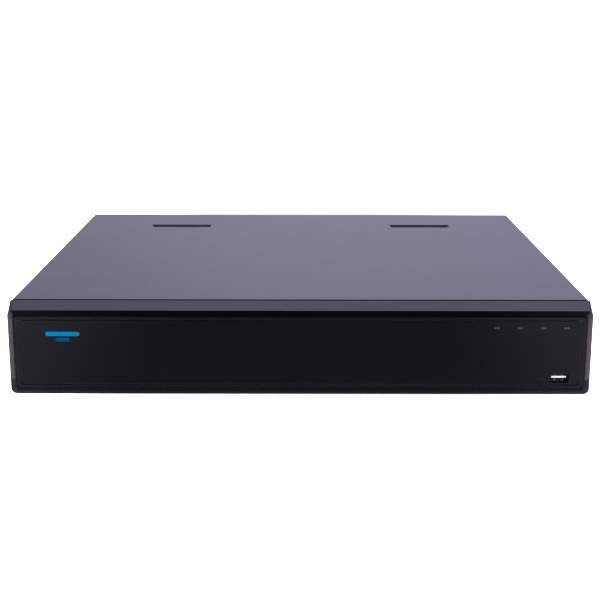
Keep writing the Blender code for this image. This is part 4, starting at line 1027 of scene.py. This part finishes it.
def drive_parts():
    """Lid screws and blank labels of the drives, cage screws, and plugs at the drives' rear ends."""
    lid_screws, labels, lines, data_plugs, power_plugs = [], [], [], [], []
    for node in sorted(name for name in NODES if name.startswith("hard_drive")):
        low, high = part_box(node)
        x, back, top = (low.x + high.x) / 2, high.y, high.z
        for across in (-0.0435, 0.0435):
            for y in (low.y + 0.012, (low.y + back) / 2, back - 0.02):
                lid_screws.append((x + across, y, top))
        middle = low.y + 0.064
        labels.append(plate(round_outline(x, middle, 0.037, 0.043, 0.002), top, top + 0.00012, flat))
        edge = frame_outlines(x, middle, 0.035, 0.041, 0.0004)
        lines.append(band(*edge, top, top + 0.00015, flat))
        for dy in (-0.022, 0.0, 0.018):
            lines.append(tile(x, middle + dy, 0.06, 0.0005, top, top + 0.00015))
        front, base, crown = back - 0.0045, low.z + 0.0018, low.z + 0.0064
        data_plugs.append(block((x - 0.0185, front, base), (x - 0.006, back + 0.008, crown)))
        power_plugs.append(block((x - 0.044, front, base), (x - 0.023, back + 0.007, crown)))
    screw_heads("lid_screws", lid_screws, 0.0019, way=UP)
    piece("drive_labels", "label", labels, edge=0)
    piece("drive_label_lines", "can", lines, edge=0)
    piece("drive_data_plugs", "data", data_plugs, edge=0.0004)
    piece("drive_power_plugs", "black", power_plugs, edge=0.0004)
    looks = ("yellow", "red", "black", "leads")
    for side in ("left", "right"):
        low, high = [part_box(f"hard_drive_{side}_{level}") for level in ("lower", "upper")]
        x, y = (low[0].x + low[1].x) / 2 - 0.0335, low[1].y + 0.0045
        for look, dx in zip(looks, spaced(4, 0.003)):
            ends = [(x + dx, y, box[0].z + 0.0041) for box in (low, high)]
            bow = [(x + dx, y + 0.0035, z) for z in (low[0].z + 0.011, high[0].z - 0.003)]
            route = [ends[0], bow[0], bow[1], ends[1]]
            wires = [rod(start, end, 0.0008, 8) for start, end in zip(route, route[1:])]
            piece(f"drive_link_{side}_{look}", look, wires, edge=0)
    cage_screws = []
    for side in ("left", "right"):
        low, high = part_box(f"drive_cage_{side}")
        for x in (low.x + 0.0028, high.x - 0.0028):
            for y in (low.y + 0.03, high.y - 0.03):
                cage_screws.append((x, y, 0.0085))
    screw_heads("cage_screws", cage_screws, 0.0024, way=UP)


def cable_plugs():
    """Plugs at the ends of the leads inside, and tie mounts under the long one."""
    white = [
        block((-0.16, 0.004, 0.0158), (-0.128, 0.0117, 0.0232)),  # drives' power, at the supply
        block((-0.1227, 0.0915, 0.0156), (-0.117, 0.1105, 0.023)),  # main board's power, at the supply
        block((-0.0752, 0.0895, 0.0156), (-0.0693, 0.1105, 0.023)),  # and at the main board
        block((-0.195, 0.1463, 0.016), (-0.185, 0.153, 0.0216)),  # mains inlet
        block((-0.185, 0.1463, 0.0205), (-0.1765, 0.153, 0.0262)),  # mains switch
        block((0.178, 0.033, 0.0164), (0.19, 0.0412, 0.0226)),  # front lead, at the main board
        block((0.1545, -0.1872, 0.0335), (0.1675, -0.18, 0.0387)),  # and at the indicator board
    ]
    white += [block((-0.0752, y - 0.003, 0.015), (-0.0693, y + 0.003, 0.0196)) for y in (0.126, 0.134)]
    piece("lead_plugs", "white", white, edge=0.0004)
    xs = (-0.062, -0.05, -0.038, -0.026)
    heads = [block((x - 0.004, 0.0325, 0.016), (x + 0.004, 0.0413, 0.0224)) for x in xs]
    piece("data_plugs", "data", heads, edge=0.0005)
    floor, lead_z, tied = 0.007, 0.0108, ((0.1903, -0.105), (0.1922, -0.055))
    mounts = [tile(x, y, 0.016, 0.012, floor, floor + 0.0014) for x, y in tied]
    piece("tie_mounts", "white", mounts, edge=0.0004)
    ties = [rod((x, y - 0.0012, lead_z), (x, y + 0.0012, lead_z), 0.0027, 16) for x, y in tied]
    piece("tie_bands", "black", ties, edge=0.0002)


def underside_parts():
    """Screws that hold the cages, a blank label and two folded ribs under the tray."""
    low_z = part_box("chassis_tray")[0].z
    xs = [cage_x + side * 0.0547 for cage_x in (-0.146, -0.026) for side in (-1, 1)]
    places = [(x, y, low_z) for x in xs for y in (-0.148, -0.061)]
    screw_heads("underside_screws", places, 0.003, way=(0, 0, -1))
    label = [plate(round_outline(0.1, -0.09, 0.035, 0.02, 0.0015), low_z - 0.00012, low_z, flat)]
    piece("underside_label", "label", label, edge=0)
    ribs = [tile(0.0, y, 0.3, 0.006, low_z - 0.0012, low_z + 0.0002) for y in (-0.175, 0.165)]
    piece("underside_ribs", "zinc", ribs, edge=0.0008)


# Studio

FLOOR_RADIUS = 12.0
FLOOR_GLOW = 0.55
FLOOR_GLOW_FAR = 2.4
FLOOR_GLOW_CLOSE = 0.3


def floor_look():
    """A pale floor that glows more at the far left and right, and a little more close to the case."""
    made = surface("pale_floor", (0.64, 0.66, 0.62), 0.75, mottle=0.02, relief=0.0, specular=0.2)
    tree = made.node_tree
    shader = tree.nodes["Principled BSDF"]
    away_x, away_y = [link_math(tree, "ABSOLUTE", object_axis(tree, axis)) for axis in "XY"]
    sides = link_range(tree, away_x, FLOOR_GLOW, FLOOR_GLOW_FAR, 0.12, 0.27, smooth=True)
    close = link_range(tree, away_y, FLOOR_GLOW_CLOSE, 0.0, 0.2, 0.38, smooth=True)
    shader.inputs["Emission Color"].default_value = (1.0, 1.005, 1.03, 1.0)
    tree.links.new(link_math(tree, "ADD", sides, close), shader.inputs["Emission Strength"])
    return made


def build_floor():
    """A wide disc at the height of the feet."""
    mesh = bmesh.new()
    bmesh.ops.create_circle(mesh, cap_ends=True, segments=64, radius=FLOOR_RADIUS)
    floor = new_object("floor", new_data("floor", mesh))
    floor.location = (0, 0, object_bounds()[0].z)
    floor.data.materials.append(floor_look())


def soft_cone(tree, direction, aim, half_angle, soft):
    """1 inside a cone of directions, 0 outside it, with a soft edge."""
    dot = tree.nodes.new("ShaderNodeVectorMath")
    dot.operation = "DOT_PRODUCT"
    dot.inputs[1].default_value = aim
    tree.links.new(direction, dot.inputs[0])
    outer, inner = [math.cos(math.radians(half_angle + side * soft / 2)) for side in (1, -1)]
    return link_range(tree, dot.outputs["Value"], 0.0, 1.0, outer, inner, smooth=True)


def build_world():
    """A violet-white room: bright low down, a softbox high behind the case and a dark part in front."""
    world = bpy.data.worlds.new("studio")
    bpy.context.scene.world = world
    world.use_nodes = True
    tree = world.node_tree
    direction = tree.nodes.new("ShaderNodeTexCoord").outputs["Generated"]
    split = tree.nodes.new("ShaderNodeSeparateXYZ")
    tree.links.new(direction, split.inputs["Vector"])
    rear_left = soft_cone(tree, direction, (-0.5, 0.85, 0.18), 26.0, 34.0)
    low_down = link_range(tree, split.outputs["Z"], 1.0, 0.0, 0.03, 0.21)
    behind = soft_cone(tree, direction, (0.0, 0.98, 0.19), 5.0, 14.0)
    softbox = soft_cone(tree, direction, (0.07, 0.587, 0.806), 21.0, 14.0)
    in_front = soft_cone(tree, direction, (0.0, -0.342, 0.94), 32.0, 8.0)
    middle = link_range(tree, link_math(tree, "ABSOLUTE", split.outputs["X"]), 1.0, 0.0, 0.17, 0.235)
    colour = (0.755, 0.745, 1.02)
    for factor, shade in (
        (rear_left, (0.54, 0.52, 0.67)),
        (low_down, (1.34, 1.32, 1.64)),
        (behind, (1.00, 0.99, 1.27)),
        (softbox, (1.76, 1.69, 2.17)),
        (link_math(tree, "MULTIPLY", in_front, middle), (0.01, 0.009, 0.016)),
    ):
        colour = link_mix(tree, factor, colour, shade)
    tree.links.new(colour, tree.nodes["Background"].inputs["Color"])


def build_camera():
    """The camera of the photograph."""
    data = bpy.data.cameras.new("camera")
    data.lens = CAMERA_LENS
    data.sensor_width = SENSOR
    camera = new_object("camera", data)
    turn = (
        Matrix.Rotation(math.radians(CAMERA_YAW), 4, "Z")
        @ Matrix.Rotation(math.radians(90 - CAMERA_PITCH), 4, "X")
        @ Matrix.Rotation(math.radians(CAMERA_ROLL), 4, "Z")
    )
    camera.matrix_world = Matrix.Translation(CAMERA_PLACE) @ turn
    bpy.context.scene.camera = camera


bpy.context.scene.view_settings.view_transform = "Standard"
dress_nodes()
dress_bezel()
dress_cover()
dress_boards()
dress_sockets()
front_print()
front_socket()
front_seam()
video_trim()
audio_trim()
socket_trim()
terminal_trim()
fan_trim()
mains_trim()
rear_print()
main_board_parts()
supply_board_parts()
drive_parts()
cable_plugs()
underside_parts()
build_floor()
build_world()
build_camera()
